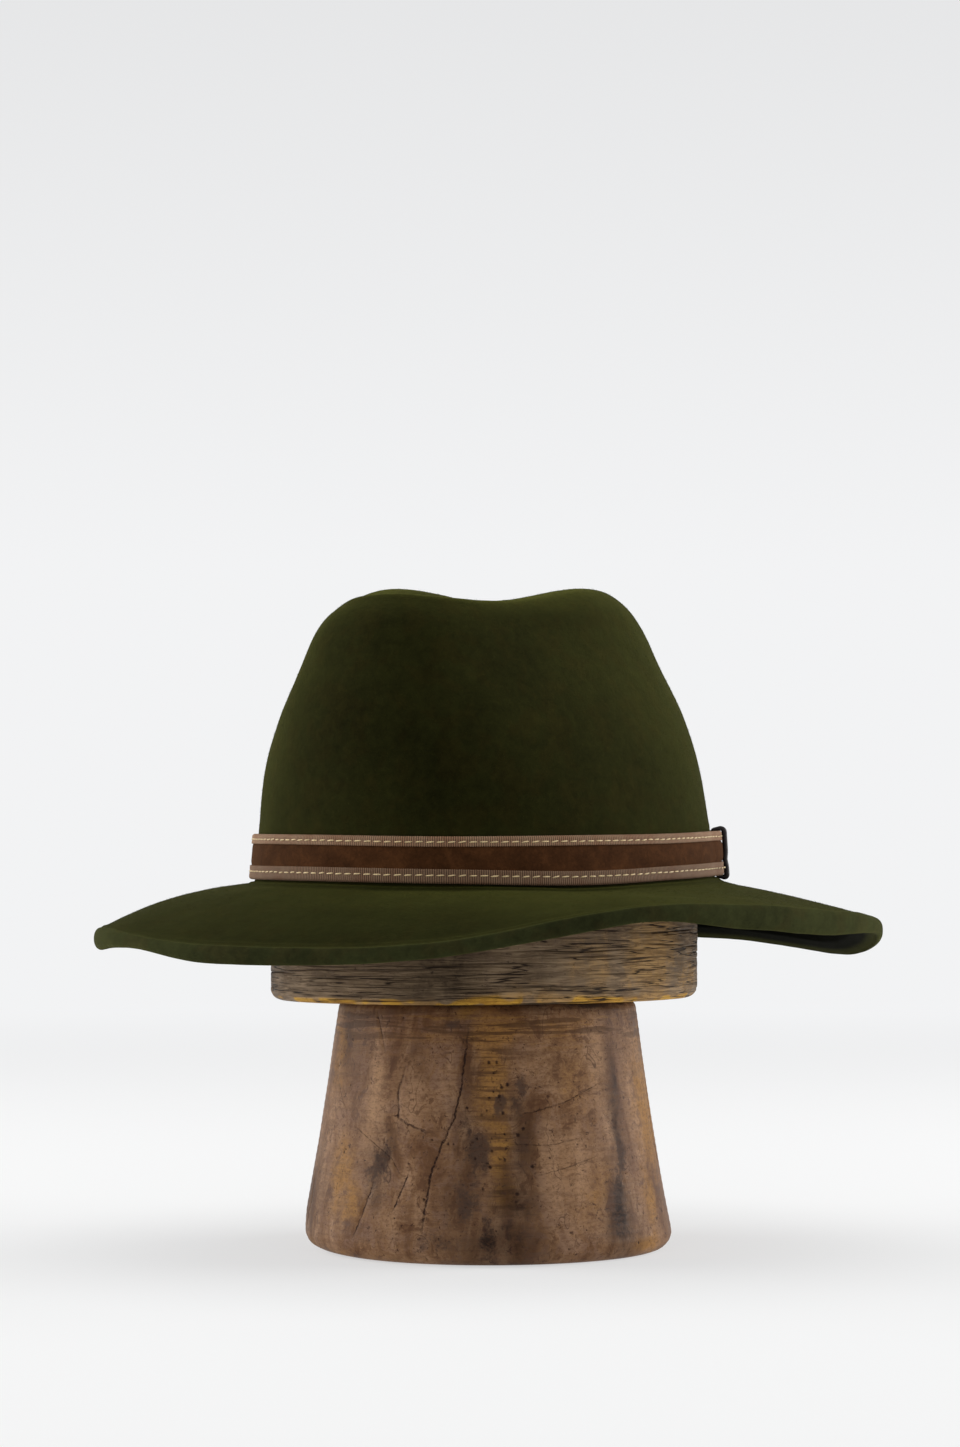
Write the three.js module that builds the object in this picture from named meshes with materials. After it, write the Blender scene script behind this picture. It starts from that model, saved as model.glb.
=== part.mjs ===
// A loden hat of green wool felt with a bound suede band, standing on a plain wooden hat stand.
// Millimetres, +Z up. The origin is on the floor under the middle of the stand.
// The hat's front faces -Y, and the wearer's left, where the keeper sits, is +X.
import * as THREE from "three";

// Felt
const FELT_THICKNESS = 2.8;
const WELT_THICKNESS = 5.2; // the brim's edge is turned under once
const WELT_WIDTH = 9;
const WELT_STEP = 1.5; // width over which the turned-under edge ends

// Crown, as horizontal oval sections above the line where its wall would meet the brim
const CROWN_SECTIONS = [
  { height: 123.4, halfLength: 0, halfWidth: 0 },
  { height: 123.0, halfLength: 32, halfWidth: 18 },
  { height: 121.5, halfLength: 54, halfWidth: 32 },
  { height: 117.8, halfLength: 71, halfWidth: 45 },
  { height: 110.0, halfLength: 78.5, halfWidth: 54 },
  { height: 99.5, halfLength: 88, halfWidth: 59.2 },
  { height: 86.0, halfLength: 94, halfWidth: 65.1 },
  { height: 68.0, halfLength: 99.6, halfWidth: 73.7 },
  { height: 46.0, halfLength: 102.5, halfWidth: 81 },
  { height: 22.0, halfLength: 103.5, halfWidth: 84.3 },
];
const CROWN_LEAN = 3.3; // of its top towards the wearer's right
const BREAK_HALF_LENGTH = 105.5;
const BREAK_HALF_WIDTH = 87.3;
const BREAK_RADIUS = 1.5;

// The long dent along the top, and the two pinches beside its front end
const DENT = { depth: 20.7, halfWidth: 23.6, reach: 88, reachDown: 34, flatShare: 0.45 };
const PINCHES = [
  { x: 39.5, y: -33, height: 77, inward: 9.4, lowered: 7.8, halfLength: 43 },
  { x: -36.7, y: -45.5, height: 85.7, inward: 8.9, lowered: 6.6, halfLength: 26.5 },
];
const PINCH_HALF_WIDTH = 26;
const PINCH_HALF_HEIGHT = 34;

// Brim: an oval in plan, a little wider on the wearer's left
const BRIM_HALF_LENGTH = 167.4;
const BRIM_HALF_WIDTH = 153.3;
const BRIM_SHIFT = 1.8;
const BRIM_START_DROP = 0.5;
const BRIM_ROUNDING = 0.7; // share of the brim's fall that comes as a growing curve

// Height of the brim's lower edge below the crown's foot, at even steps of angle from the front
// towards the wearer's left
const EDGE_DROPS = [
  { angle: -10, drop: 26.0 },
  { angle: 20, drop: 23.5 },
  { angle: 50, drop: 11.5 },
  { angle: 80, drop: 17.2 },
  { angle: 110, drop: 22.6 },
  { angle: 140, drop: 33.2 },
  { angle: 170, drop: 29.0 },
  { angle: 200, drop: 28.0 },
  { angle: 230, drop: 29.0 },
  { angle: 260, drop: 26.0 },
  { angle: 290, drop: 22.8 },
  { angle: 320, drop: 21.4 },
];

// Band
const BAND_HEIGHT = 17.6;
const BAND_LIFT = 1.8; // above the crown's foot
const BAND_GAP = 0.25;
const RIBBON_WIDTH_UPPER = 3.6;
const RIBBON_WIDTH_LOWER = 5.2;
const RIBBON_THICKNESS = 0.45;
const RIBBON_BACK_WIDTH = 3.2; // how far each ribbon is folded round behind the suede
const SUEDE_THICKNESS = 0.9;
const PIECE_GAP = 0.15;

// Keeper: a narrow leather loop round the band
const KEEPER_FACET = 22; // the facet of the band that it lies on, counted from the front
const KEEPER_WIDTH = 8.6;
const KEEPER_THICKNESS = 1.0;
const KEEPER_GAP = 0.35;
const KEEPER_CORNER = 1.0; // of its middle line

// Stand
const PEDESTAL_HEIGHT = 99.2;
const PEDESTAL_TOP_RADIUS = 59.1;
const PEDESTAL_BOTTOM_RADIUS = 73.5;
const PEDESTAL_TOP_ROUND = 2.8;
const PEDESTAL_BOTTOM_ROUND = 6.5;
const STAND_GAP = 0.3;
const BLOCK_HALF_LENGTH = 99.7;
const BLOCK_HALF_WIDTH = 79.9;
const BLOCK_RIM_HEIGHT = 28; // above the crown's foot, where the felt wall wedges on the block
const BLOCK_BOTTOM_ROUND = 4;
const BLOCK_TOP_ROUND = 5;

// How the hat sits on the stand
const HAT_HEIGHT = 145.6; // of the crown's foot above the floor
const HAT_PITCH = 1.5; // degrees, front lower
const HAT_ROLL = 0.2; // degrees, wearer's left lower

// Fineness of the facets
const AROUND = 64;
const CROWN_ROWS = 12;
const FIRST_CROWN_ROW = 0.11; // share of the way from the top to the band
const BRIM_ROWS = [3, 3.2, 3.4, 3.58, 3.74]; // places on the felt, of which 3 to 4 are the brim
const EDGE_STEPS = 4;
const CORNER_STEPS = 3;
const LATHE_STEPS = 2; // half the facets of a turned corner

const rad = THREE.MathUtils.degToRad;
const { lerp, smoothstep } = THREE.MathUtils;

const FACET_ANGLE = (2 * Math.PI) / AROUND;
const ANGLES = Array.from({ length: AROUND }, (_, i) => i * FACET_ANGLE);

// A point of an oval with the given half axes, at an angle measured from the front.
function ovalPoint(halfLength, halfWidth, angle, height) {
  if (halfLength === 0) return new THREE.Vector3(0, 0, height);
  const radius = 1 / Math.hypot(Math.sin(angle) / halfWidth, Math.cos(angle) / halfLength);
  return new THREE.Vector3(radius * Math.sin(angle), -radius * Math.cos(angle), height);
}

function bell(distance, halfWidth) {
  return Math.exp(-((distance / halfWidth) ** 2));
}

// Crown wall behind the band: straight from the lowest section down to the foot.
const WALL_TOP = CROWN_SECTIONS.at(-1);
function wallPoint(angle, height) {
  const share = height / WALL_TOP.height;
  return ovalPoint(
    lerp(BREAK_HALF_LENGTH, WALL_TOP.halfLength, share),
    lerp(BREAK_HALF_WIDTH, WALL_TOP.halfWidth, share),
    angle,
    height,
  );
}

const crownCurve = new THREE.CatmullRomCurve3(
  CROWN_SECTIONS.map((s) => new THREE.Vector3(s.halfLength, s.halfWidth, s.height)),
  false,
  "centripetal",
);

// The crown above the band, pressed in by the dent and the pinches.
// share is 0 at the top and 1 at the band.
function crownPoint(angle, share) {
  const section = crownCurve.getPoint(share);
  const point = ovalPoint(section.x, section.y, angle, section.z);
  const top = CROWN_SECTIONS[0].height;
  const dented =
    bell(point.x, DENT.halfWidth) *
    (1 - smoothstep(Math.abs(point.y) / DENT.reach, DENT.flatShare, 1)) *
    smoothstep(point.z, top - DENT.reachDown, top - 2);
  const pressed = point.clone();
  for (const pinch of PINCHES) {
    const near = bell(point.x - pinch.x, PINCH_HALF_WIDTH) * bell(point.y - pinch.y, pinch.halfLength);
    pressed.x -= Math.sign(pinch.x) * pinch.inward * near * bell(point.z - pinch.height, PINCH_HALF_HEIGHT);
    pressed.z -= pinch.lowered * near * smoothstep(point.z, pinch.height, top);
  }
  pressed.x -= CROWN_LEAN * ((point.z - WALL_TOP.height) / (top - WALL_TOP.height));
  pressed.z -= DENT.depth * dented;
  return pressed;
}

const edgeCurve = new THREE.CatmullRomCurve3(
  EDGE_DROPS.map(({ drop }) => new THREE.Vector3(0, 0, -drop)),
  true,
  "catmullrom",
  0.5,
);

// Height of the brim's lower edge above the crown's foot.
function edgeHeight(angle) {
  const turns = (angle - rad(EDGE_DROPS[0].angle)) / (2 * Math.PI);
  return edgeCurve.getPoint(turns - Math.floor(turns)).z;
}

// The brim's upper surface. share is 0 beside the crown and 1 at the edge.
function brimPoint(angle, share) {
  const start = ovalPoint(BREAK_HALF_LENGTH + BREAK_RADIUS, BREAK_HALF_WIDTH + BREAK_RADIUS, angle, 0);
  const edge = WELT_THICKNESS / 2;
  const end = ovalPoint(BRIM_HALF_LENGTH - edge, BRIM_HALF_WIDTH - edge, angle, 0);
  end.x += BRIM_SHIFT;
  const fall = edgeHeight(angle) + WELT_THICKNESS + BRIM_START_DROP;
  const point = start.lerp(end, share);
  point.z = fall * (share * (1 - BRIM_ROUNDING) + BRIM_ROUNDING * share ** 2) - BRIM_START_DROP;
  return point;
}

// The felt's upper surface: the crown is at places 0 to 1, its wall behind the band 1 to 2,
// the turn into the brim 2 to 3 and the brim 3 to 4.
function feltPoint(angle, place) {
  if (place <= 1) return crownPoint(angle, place);
  if (place <= 2) return wallPoint(angle, lerp(WALL_TOP.height, BREAK_RADIUS, place - 1));
  if (place >= 3) return brimPoint(angle, place - 3);
  const turn = [wallPoint(angle, BREAK_RADIUS), wallPoint(angle, 0), brimPoint(angle, 0)];
  return new THREE.QuadraticBezierCurve3(...turn).getPoint(place - 2);
}

function feltNormal(angle, place) {
  const step = 1e-3;
  if (place < step) return new THREE.Vector3(0, 0, 1);
  const around = feltPoint(angle + step, place).sub(feltPoint(angle - step, place));
  const along = feltPoint(angle, Math.min(place + step, 4)).sub(feltPoint(angle, place - step));
  return along.cross(around).normalize();
}

// A closed geometry from rows of points, each row going once round. A row of one point is a pole,
// and where no row is a pole, the last row joins the first.
function meshFromRows(rows) {
  const positions = [];
  const starts = rows.map((row) => {
    const start = positions.length / 3;
    row.forEach((p) => positions.push(p.x, p.y, p.z));
    return start;
  });
  const index = [];
  const joined = rows[0].length > 1 ? rows.length : rows.length - 1;
  for (let r = 0; r < joined; r++) {
    const after = (r + 1) % rows.length;
    const here = (i) => starts[r] + (i % rows[r].length);
    const there = (i) => starts[after] + (i % rows[after].length);
    for (let i = 0; i < Math.max(rows[r].length, rows[after].length); i++) {
      if (rows[r].length > 1) index.push(here(i), there(i), here(i + 1));
      if (rows[after].length > 1) index.push(here(i + 1), there(i), there(i + 1));
    }
  }
  const geometry = new THREE.BufferGeometry();
  geometry.setAttribute("position", new THREE.Float32BufferAttribute(positions, 3));
  geometry.setIndex(index);
  geometry.computeVertexNormals();
  return geometry;
}

// Crown and brim are one piece of felt: the upper skin, the rounded edge, then the lower skin
// back to the top.
function feltGeometry() {
  const crownPlaces = Array.from({ length: CROWN_ROWS }, (_, i) =>
    lerp(FIRST_CROWN_ROW, 1, i / (CROWN_ROWS - 1)),
  );
  const innerPlaces = [...crownPlaces, 2, 2.5, ...BRIM_ROWS];
  const brimWidth = BRIM_HALF_WIDTH - BREAK_HALF_WIDTH;
  const weltEnd = 4 - WELT_WIDTH / brimWidth;
  const stepEnd = weltEnd - WELT_STEP / brimWidth;
  const upper = (place) => ANGLES.map((a) => feltPoint(a, place));
  const lower = (place, thickness) =>
    ANGLES.map((a) => feltPoint(a, place).addScaledVector(feltNormal(a, place), -thickness));
  const edge = (turn) =>
    ANGLES.map((a) => {
      const normal = feltNormal(a, 4);
      const outward = new THREE.Vector3(Math.sin(a), -Math.cos(a), 0).projectOnPlane(normal).normalize();
      return feltPoint(a, 4)
        .addScaledVector(normal, (WELT_THICKNESS / 2) * (Math.cos(turn) - 1))
        .addScaledVector(outward, (WELT_THICKNESS / 2) * Math.sin(turn));
    });
  const top = feltPoint(0, 0);
  const rows = [[top]];
  [...innerPlaces, 4].forEach((place) => rows.push(upper(place)));
  for (let i = 1; i < EDGE_STEPS; i++) rows.push(edge((Math.PI * i) / EDGE_STEPS));
  rows.push(lower(4, WELT_THICKNESS), lower(weltEnd, WELT_THICKNESS), lower(stepEnd, FELT_THICKNESS));
  innerPlaces.toReversed().forEach((place) => rows.push(lower(place, FELT_THICKNESS)));
  rows.push([top.clone().setZ(top.z - FELT_THICKNESS)]);
  return meshFromRows(rows);
}

// How far the band stands off the felt, to clear the keeper's back.
function standOff(angle) {
  const facets = Math.abs(angle / FACET_ANGLE - KEEPER_FACET - 0.5);
  return BAND_GAP + (2 * KEEPER_GAP + KEEPER_THICKNESS - BAND_GAP) * (1 - smoothstep(facets, 1, 3));
}

// A point at a level above the crown's foot and at a distance outside the felt wall.
function outsideWall(angle, distance, height) {
  const point = wallPoint(angle, height);
  const outward = new THREE.Vector3(
    point.x / BREAK_HALF_WIDTH ** 2,
    point.y / BREAK_HALF_LENGTH ** 2,
    0,
  ).normalize();
  return point.addScaledVector(outward, distance);
}

// A strip round the whole band, from its section: outer top first, then down, in and up again.
function bandGeometry(section) {
  return meshFromRows(
    section.map(([depth, height]) =>
      ANGLES.map((a) => outsideWall(a, standOff(a) + depth, BAND_LIFT + height)),
    ),
  );
}

const BAND_THICKNESS = SUEDE_THICKNESS + 2 * (RIBBON_THICKNESS + PIECE_GAP);

// A ribbon folded over the top edge of the suede. Each pair is depth and height.
function ribbonSection(width) {
  const [out, fold, top] = [BAND_THICKNESS, RIBBON_THICKNESS, BAND_HEIGHT];
  return [
    [out, top],
    [out, top - width],
    [out - fold, top - width],
    [out - fold, top - fold],
    [fold, top - fold],
    [fold, top - RIBBON_BACK_WIDTH],
    [0, top - RIBBON_BACK_WIDTH],
    [0, top],
  ];
}

// The same ribbon folded under the bottom edge.
function turnedOver(section) {
  return section.map(([depth, height]) => [depth, BAND_HEIGHT - height]).toReversed();
}

function suedeSection() {
  const back = RIBBON_THICKNESS + PIECE_GAP;
  const front = back + SUEDE_THICKNESS;
  return [
    [front, BAND_HEIGHT - back],
    [front, back],
    [back, back],
    [back, BAND_HEIGHT - back],
  ];
}

// The keeper is a flat strap whose middle line goes round the band as a rectangle with round corners.
function keeperGeometry() {
  const half = KEEPER_THICKNESS / 2;
  const left = KEEPER_GAP + half;
  const right = standOff((KEEPER_FACET + 0.5) * FACET_ANGLE) + BAND_THICKNESS + KEEPER_GAP + half;
  const bottom = BAND_LIFT - KEEPER_GAP - half;
  const top = BAND_LIFT + BAND_HEIGHT + KEEPER_GAP + half;
  const corners = [
    { x: right - KEEPER_CORNER, y: top - KEEPER_CORNER, from: 0 },
    { x: left + KEEPER_CORNER, y: top - KEEPER_CORNER, from: Math.PI / 2 },
    { x: left + KEEPER_CORNER, y: bottom + KEEPER_CORNER, from: Math.PI },
    { x: right - KEEPER_CORNER, y: bottom + KEEPER_CORNER, from: 1.5 * Math.PI },
  ];
  const first = KEEPER_FACET * FACET_ANGLE;
  const chord = outsideWall(first, 0, 0).distanceTo(outsideWall(first + FACET_ANGLE, 0, 0));
  const inset = (1 - KEEPER_WIDTH / chord) / 2;
  const place = (side, distance, height) =>
    outsideWall(first, distance, height).lerp(outsideWall(first + FACET_ANGLE, distance, height), side);
  const rows = corners.flatMap(({ x, y, from }) =>
    Array.from({ length: CORNER_STEPS + 1 }, (_, i) => {
      const angle = from + (Math.PI / 2) * (i / CORNER_STEPS);
      const [cos, sin] = [Math.cos(angle), Math.sin(angle)];
      const inner = [x + (KEEPER_CORNER - half) * cos, y + (KEEPER_CORNER - half) * sin];
      const outer = [x + (KEEPER_CORNER + half) * cos, y + (KEEPER_CORNER + half) * sin];
      return [
        place(inset, ...inner),
        place(1 - inset, ...inner),
        place(1 - inset, ...outer),
        place(inset, ...outer),
      ];
    }),
  );
  return meshFromRows(rows);
}

// A turned body, from its outline that starts and ends on the axis.
function turned(outline) {
  return new THREE.LatheGeometry(outline.getPoints(LATHE_STEPS), AROUND).rotateX(Math.PI / 2);
}

function blockGeometry() {
  const bottom = PEDESTAL_HEIGHT + STAND_GAP;
  const top = HAT_HEIGHT + BLOCK_RIM_HEIGHT + BLOCK_TOP_ROUND;
  const side = BLOCK_HALF_WIDTH;
  const [low, high] = [BLOCK_BOTTOM_ROUND, BLOCK_TOP_ROUND];
  const outline = new THREE.Path()
    .moveTo(0, bottom)
    .lineTo(side - low, bottom)
    .absarc(side - low, bottom + low, low, -Math.PI / 2, 0)
    .absarc(side - high, top - high, high, 0, Math.PI / 2)
    .lineTo(0, top);
  return turned(outline).scale(1, BLOCK_HALF_LENGTH / BLOCK_HALF_WIDTH, 1);
}

function pedestalGeometry() {
  const [bottom, low] = [PEDESTAL_BOTTOM_RADIUS, PEDESTAL_BOTTOM_ROUND];
  const [top, high] = [PEDESTAL_TOP_RADIUS, PEDESTAL_TOP_ROUND];
  const lean = Math.atan2(bottom - top, PEDESTAL_HEIGHT);
  const outline = new THREE.Path()
    .moveTo(0, 0)
    .lineTo(bottom - low, 0)
    .absarc(bottom - low, low, low, -Math.PI / 2, lean)
    .absarc(top - high, PEDESTAL_HEIGHT - high, high, lean, Math.PI / 2)
    .lineTo(0, PEDESTAL_HEIGHT);
  return turned(outline);
}

function piece(name, geometry, color, roughness) {
  const material = new THREE.MeshStandardMaterial({ color, roughness, metalness: 0 });
  const mesh = new THREE.Mesh(geometry, material);
  mesh.name = name;
  return mesh;
}

const stand = new THREE.Group();
stand.add(
  piece("stand_pedestal", pedestalGeometry(), 0x6e5340, 0.55),
  piece("stand_block", blockGeometry(), 0x7d6a52, 0.75),
);

// The hat is tilted about the middle of the block's rim, which it rests on.
const hat = new THREE.Group();
hat.position.z = HAT_HEIGHT + BLOCK_RIM_HEIGHT;
hat.rotation.set(rad(HAT_PITCH), rad(HAT_ROLL), 0);
const upperRibbon = ribbonSection(RIBBON_WIDTH_UPPER);
const lowerRibbon = turnedOver(ribbonSection(RIBBON_WIDTH_LOWER));
hat.add(
  piece("hat_body", feltGeometry(), 0x363c1e, 0.95),
  piece("band_suede", bandGeometry(suedeSection()), 0x4d2f1e, 0.9),
  piece("ribbon_upper", bandGeometry(upperRibbon), 0x866a55, 0.8),
  piece("ribbon_lower", bandGeometry(lowerRibbon), 0x866a55, 0.8),
  piece("keeper", keeperGeometry(), 0x1d1512, 0.5),
);
hat.children.forEach((mesh) => {
  mesh.position.z = -BLOCK_RIM_HEIGHT;
});

const part = new THREE.Group();
part.add(stand, hat);

export default part;
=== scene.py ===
import math

import bpy
import numpy as np
from bpy.props import FloatProperty, FloatVectorProperty, IntProperty, PointerProperty
from mathutils import Matrix, Vector, noise


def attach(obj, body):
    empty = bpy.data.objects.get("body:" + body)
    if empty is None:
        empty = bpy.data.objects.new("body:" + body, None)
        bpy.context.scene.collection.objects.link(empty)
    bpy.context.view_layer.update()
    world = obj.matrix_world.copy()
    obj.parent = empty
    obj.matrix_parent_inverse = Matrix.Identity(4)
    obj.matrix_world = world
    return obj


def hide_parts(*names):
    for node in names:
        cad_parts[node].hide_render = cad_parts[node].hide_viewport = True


bl_info = {
    "name": "Loden Hat",
    "version": (1, 0, 0),
    "blender": (4, 5, 0),
    "location": "3D View > Sidebar > Hat",
    "description": "A felt hat with a bound suede band on a worn wooden stand",
    "category": "Add Mesh",
}

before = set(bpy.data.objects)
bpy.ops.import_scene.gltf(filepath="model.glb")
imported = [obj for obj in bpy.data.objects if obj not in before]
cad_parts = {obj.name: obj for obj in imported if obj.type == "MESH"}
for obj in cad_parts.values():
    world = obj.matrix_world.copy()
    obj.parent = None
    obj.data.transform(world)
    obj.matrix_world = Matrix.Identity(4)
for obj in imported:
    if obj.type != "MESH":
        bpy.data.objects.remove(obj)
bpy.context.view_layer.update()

MM = 0.001
TURN = 2 * math.pi

# Crown, as horizontal oval sections above the line where its wall would meet the brim, in mm:
# height, half length, half width
CROWN_SECTIONS = (
    (123.4, 0, 0),
    (123.0, 32, 18),
    (121.5, 54, 32),
    (117.8, 71, 45),
    (110.0, 78.5, 54),
    (99.5, 88, 59.2),
    (86.0, 94, 65.1),
    (68.0, 99.6, 73.7),
    (46.0, 102.5, 81),
    (22.0, 104.2, 85.0),
)
DENT = {"depth": 20.7, "half_width": 23.6, "reach": 88, "reach_down": 34, "flat_share": 0.45}
PINCHES = (
    {"x": 39.5, "y": -33, "height": 77, "inward": 9.4, "lowered": 7.8, "half_length": 43},
    {"x": -36.7, "y": -45.5, "height": 85.7, "inward": 8.9, "lowered": 6.6, "half_length": 26.5},
)
PINCH_HALF_WIDTH = 26
PINCH_HALF_HEIGHT = 34

# The brim's lower edge below the crown's foot, in mm, at each twelfth of a turn from the front
# towards the wearer's left, the first one 10 degrees before the front
EDGE_DROPS = (26.0, 23.6, 11.3, 18.6, 21.6, 33.2, 29.0, 28.0, 29.0, 26.0, 24.6, 21.6)
EDGE_FIRST_TURN = -10 / 360

# Height of the turned edge's outer face, in mm, at the same places
EDGE_FACES = (7.0, 5.7, 5.3, 9.6, 6.2, 6.0, 6.0, 6.0, 6.0, 6.2, 4.2, 6.8)

# Short waves of the lower edge: angle from the front in degrees, rise in mm, half width in degrees
EDGE_WAVES = ((-24, 2.1, 9), (-46, -2.4, 11), (39, -1.2, 8), (62, -1.4, 10))

# How much of the brim's fall gathers towards its edge, and where there is more or less of it: angle
# in degrees, change, half width in degrees
BRIM_ROUNDING = 0.7
ROUNDING_CHANGES = ((118, -0.38, 38), (-61, 0.38, 34))

# The edge is a full round on the wearer's right, and flatter in front of it elsewhere
ROUND_EDGE_MIDDLE, ROUND_EDGE_HALF_WIDTH = -61, 24

# How far the band's edges lie above an even line, in mm, at the same places as the brim's edge
BAND_LOW_RISES = (1.2, 0.1, -1.3, -0.4, 0.1, 0, 0, 0, 0, 0, 0.6, 1.1)
BAND_TOP_RISES = (0.65, -0.35, -0.5, -0.5, -0.05, 0, 0, 0, 0, 0.2, 0.5, 0.8)


# Sizes and colours that a user would change


def length(name, description, default):
    return FloatProperty(
        name=name, description=description, default=default, unit="LENGTH", precision=5
    )


def degrees(name, description, default):
    return FloatProperty(
        name=name, description=description, default=math.radians(default), subtype="ANGLE"
    )


def colour(name, description, default):
    return FloatVectorProperty(
        name=name, description=description, default=default, subtype="COLOR", size=3, min=0, max=1
    )


def amount(name, description, default):
    return FloatProperty(name=name, description=description, default=default, min=0)


class FeltSettings(bpy.types.PropertyGroup):
    thickness: length("Felt Thickness", "Thickness of the wool felt", 2.8 * MM)
    welt_thickness: length("Edge Thickness", "Thickness of the turned-under brim edge", 5.2 * MM)
    welt_width: length("Edge Width", "Width of the turned-under brim edge", 9 * MM)
    lean: length("Crown Lean", "Lean of the crown's top to the wearer's right", 3.3 * MM)
    foot_half_length: length("Foot Half Length", "Half length of the crown at its foot", 105.5 * MM)
    foot_half_width: length("Foot Half Width", "Half width of the crown at its foot", 87.3 * MM)
    brim_half_length: length("Brim Half Length", "Half length of the brim", 167.4 * MM)
    brim_half_width: length("Brim Half Width", "Half width of the brim", 153.3 * MM)
    brim_shift: length("Brim Shift", "Shift of the brim to the wearer's left", 1.8 * MM)
    seat_height: length("Foot Height", "Height of the crown's foot above the floor", 145.6 * MM)
    pitch: degrees("Pitch", "Tilt of the hat, front lower", 1.5)
    roll: degrees("Roll", "Tilt of the hat, wearer's left lower", 0.2)
    around: IntProperty(name="Steps Around", description="Steps round it", default=320, min=32)
    fibres: IntProperty(name="Nap Fibres", description="Loose fibres on it", default=32000, min=0)
    dark: colour("Felt Dark", "Darker felt wool", (0.0064, 0.0065, 0.0015))
    light: colour("Felt Light", "Lighter felt wool", (0.0168, 0.0171, 0.0037))
    sheen: colour("Felt Sheen", "Colour of the felt's soft sheen", (0.64, 0.66, 0.11))


class BandSettings(bpy.types.PropertyGroup):
    height: length("Band Height", "Height of the band", 17.6 * MM)
    lift: length("Band Lift", "Height of the band above the crown's foot", 1.8 * MM)
    gap: length("Band Gap", "Gap between the band and the felt", 0.25 * MM)
    upper_width: length("Upper Ribbon Width", "Visible width of the upper ribbon", 3.6 * MM)
    lower_width: length("Lower Ribbon Width", "Visible width of the lower ribbon", 5.2 * MM)
    back_width: length("Ribbon Turn-In", "Width of the ribbon folded behind the suede", 3.2 * MM)
    ribbon_thickness: length("Ribbon Thickness", "Thickness of the ribbon", 0.45 * MM)
    suede_thickness: length("Suede Thickness", "Thickness of the suede strip", 0.9 * MM)
    piece_gap: length("Piece Gap", "Gap between suede and ribbon", 0.15 * MM)
    rib_pitch: length("Rib Pitch", "Distance between the ribbon's ribs", 0.84 * MM)
    upper_inset: length("Upper Inset", "Stitches to the upper ribbon's inner edge", 1.65 * MM)
    lower_inset: length("Lower Inset", "Stitches to the lower ribbon's inner edge", 2.2 * MM)
    stitch_pitch: length("Stitch Pitch", "Distance between stitches", 3.9 * MM)
    stitch_lean: degrees("Stitch Lean", "Lean of the stitches, left end higher", 5)
    stitch_length: length("Stitch Length", "Length of a stitch that shows", 2.95 * MM)
    thread: length("Thread Thickness", "Thickness of the sewing thread", 0.56 * MM)
    keeper_width: length("Keeper Width", "Width of the keeper", 8.6 * MM)
    keeper_thickness: length("Keeper Thickness", "Thickness of the keeper", 1.25 * MM)
    keeper_gap: length("Keeper Gap", "Gap between the keeper and the band", 0.12 * MM)
    keeper_flare: length("Keeper Flare", "How far the band's top leans out at the keeper", 0.7 * MM)
    keeper_room: length("Keeper Room", "Space for the keeper behind the band", 1.7 * MM)
    keeper_angle: degrees("Keeper Angle", "Place of the keeper from the front", 126.5625)
    ribbon_colour: colour("Ribbon", "Colour of the ribbon", (0.185, 0.112, 0.066))
    suede_colour: colour("Suede", "Colour of the suede", (0.047, 0.0180, 0.0062))
    thread_colour: colour("Thread", "Colour of the thread", (0.62, 0.47, 0.24))
    keeper_colour: colour("Keeper", "Colour of the keeper", (0.0080, 0.0048, 0.0040))


class StandSettings(bpy.types.PropertyGroup):
    pedestal_height: length("Foot Height", "Height of the turned foot", 99.2 * MM)
    pedestal_top: length("Foot Top Radius", "Radius of the turned foot at its top", 59.4 * MM)
    pedestal_bottom: length("Foot Bottom Radius", "Radius of the turned foot at its base", 73.7 * MM)
    pedestal_hollow: length("Foot Hollow", "How far the foot's side curves in", 0.65 * MM)
    pedestal_top_round: length("Foot Top Rounding", "Rounding of the foot's top edge", 4.2 * MM)
    pedestal_bottom_round: length("Foot Base Rounding", "Rounding of the foot's base edge", 6.5 * MM)
    gap: length("Stand Gap", "Gap between foot and block", 0.3 * MM)
    block_half_length: length("Block Half Length", "Half length of the oval block", 99.7 * MM)
    block_half_width: length("Block Half Width", "Half width of the oval block", 79.9 * MM)
    block_top: length("Block Top", "Height of the block's top above the floor", 178.6 * MM)
    block_bottom_round: length("Block Base Rounding", "Rounding of the block's lower edge", 4 * MM)
    block_top_round: length("Block Top Rounding", "Rounding of the block's upper edge", 5 * MM)


class StageSettings(bpy.types.PropertyGroup):
    azimuth: degrees("Azimuth", "Camera angle from the front", 29)
    distance: length("Distance", "Distance of the camera from the stand's axis", 1.3)
    eye_height: length("Eye Height", "Height of the camera above the floor", 142.4 * MM)
    floor_colour: colour("Floor", "Colour of the floor", (0.36, 0.36, 0.355))
    floor_light: amount("Floor Light", "Light that the floor gives off", 0.54)
    room_colour: colour("Room", "Colour of the room's light", (0.985, 0.99, 1.0))
    room_light: amount("Room Light", "Strength of the room's light", 0.80)
    overhead: amount("Overhead", "Share of the room's light from overhead", 0.30)
    horizon: amount("Horizon", "Share of the room's light at the horizon", 1.13)


# Curves and forms


def bell(distance, half_width):
    return np.exp(-((distance / half_width) ** 2))


def ease(value, low, high):
    share = np.clip((value - low) / (high - low), 0, 1)
    return share * share * (3 - 2 * share)


def oval(half_length, half_width, angle):
    """The plan of an oval at an angle from the front."""
    radius = 1 / np.hypot(np.sin(angle) / half_width, np.cos(angle) / half_length)
    return radius * np.sin(angle), -radius * np.cos(angle)


def hermite(share, start, leave, end, arrive):
    square, cube = share**2, share**3
    return (
        (2 * cube - 3 * square + 1) * start
        + (cube - 2 * square + share) * leave
        + (3 * square - 2 * cube) * end
        + (cube - square) * arrive
    )


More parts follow.
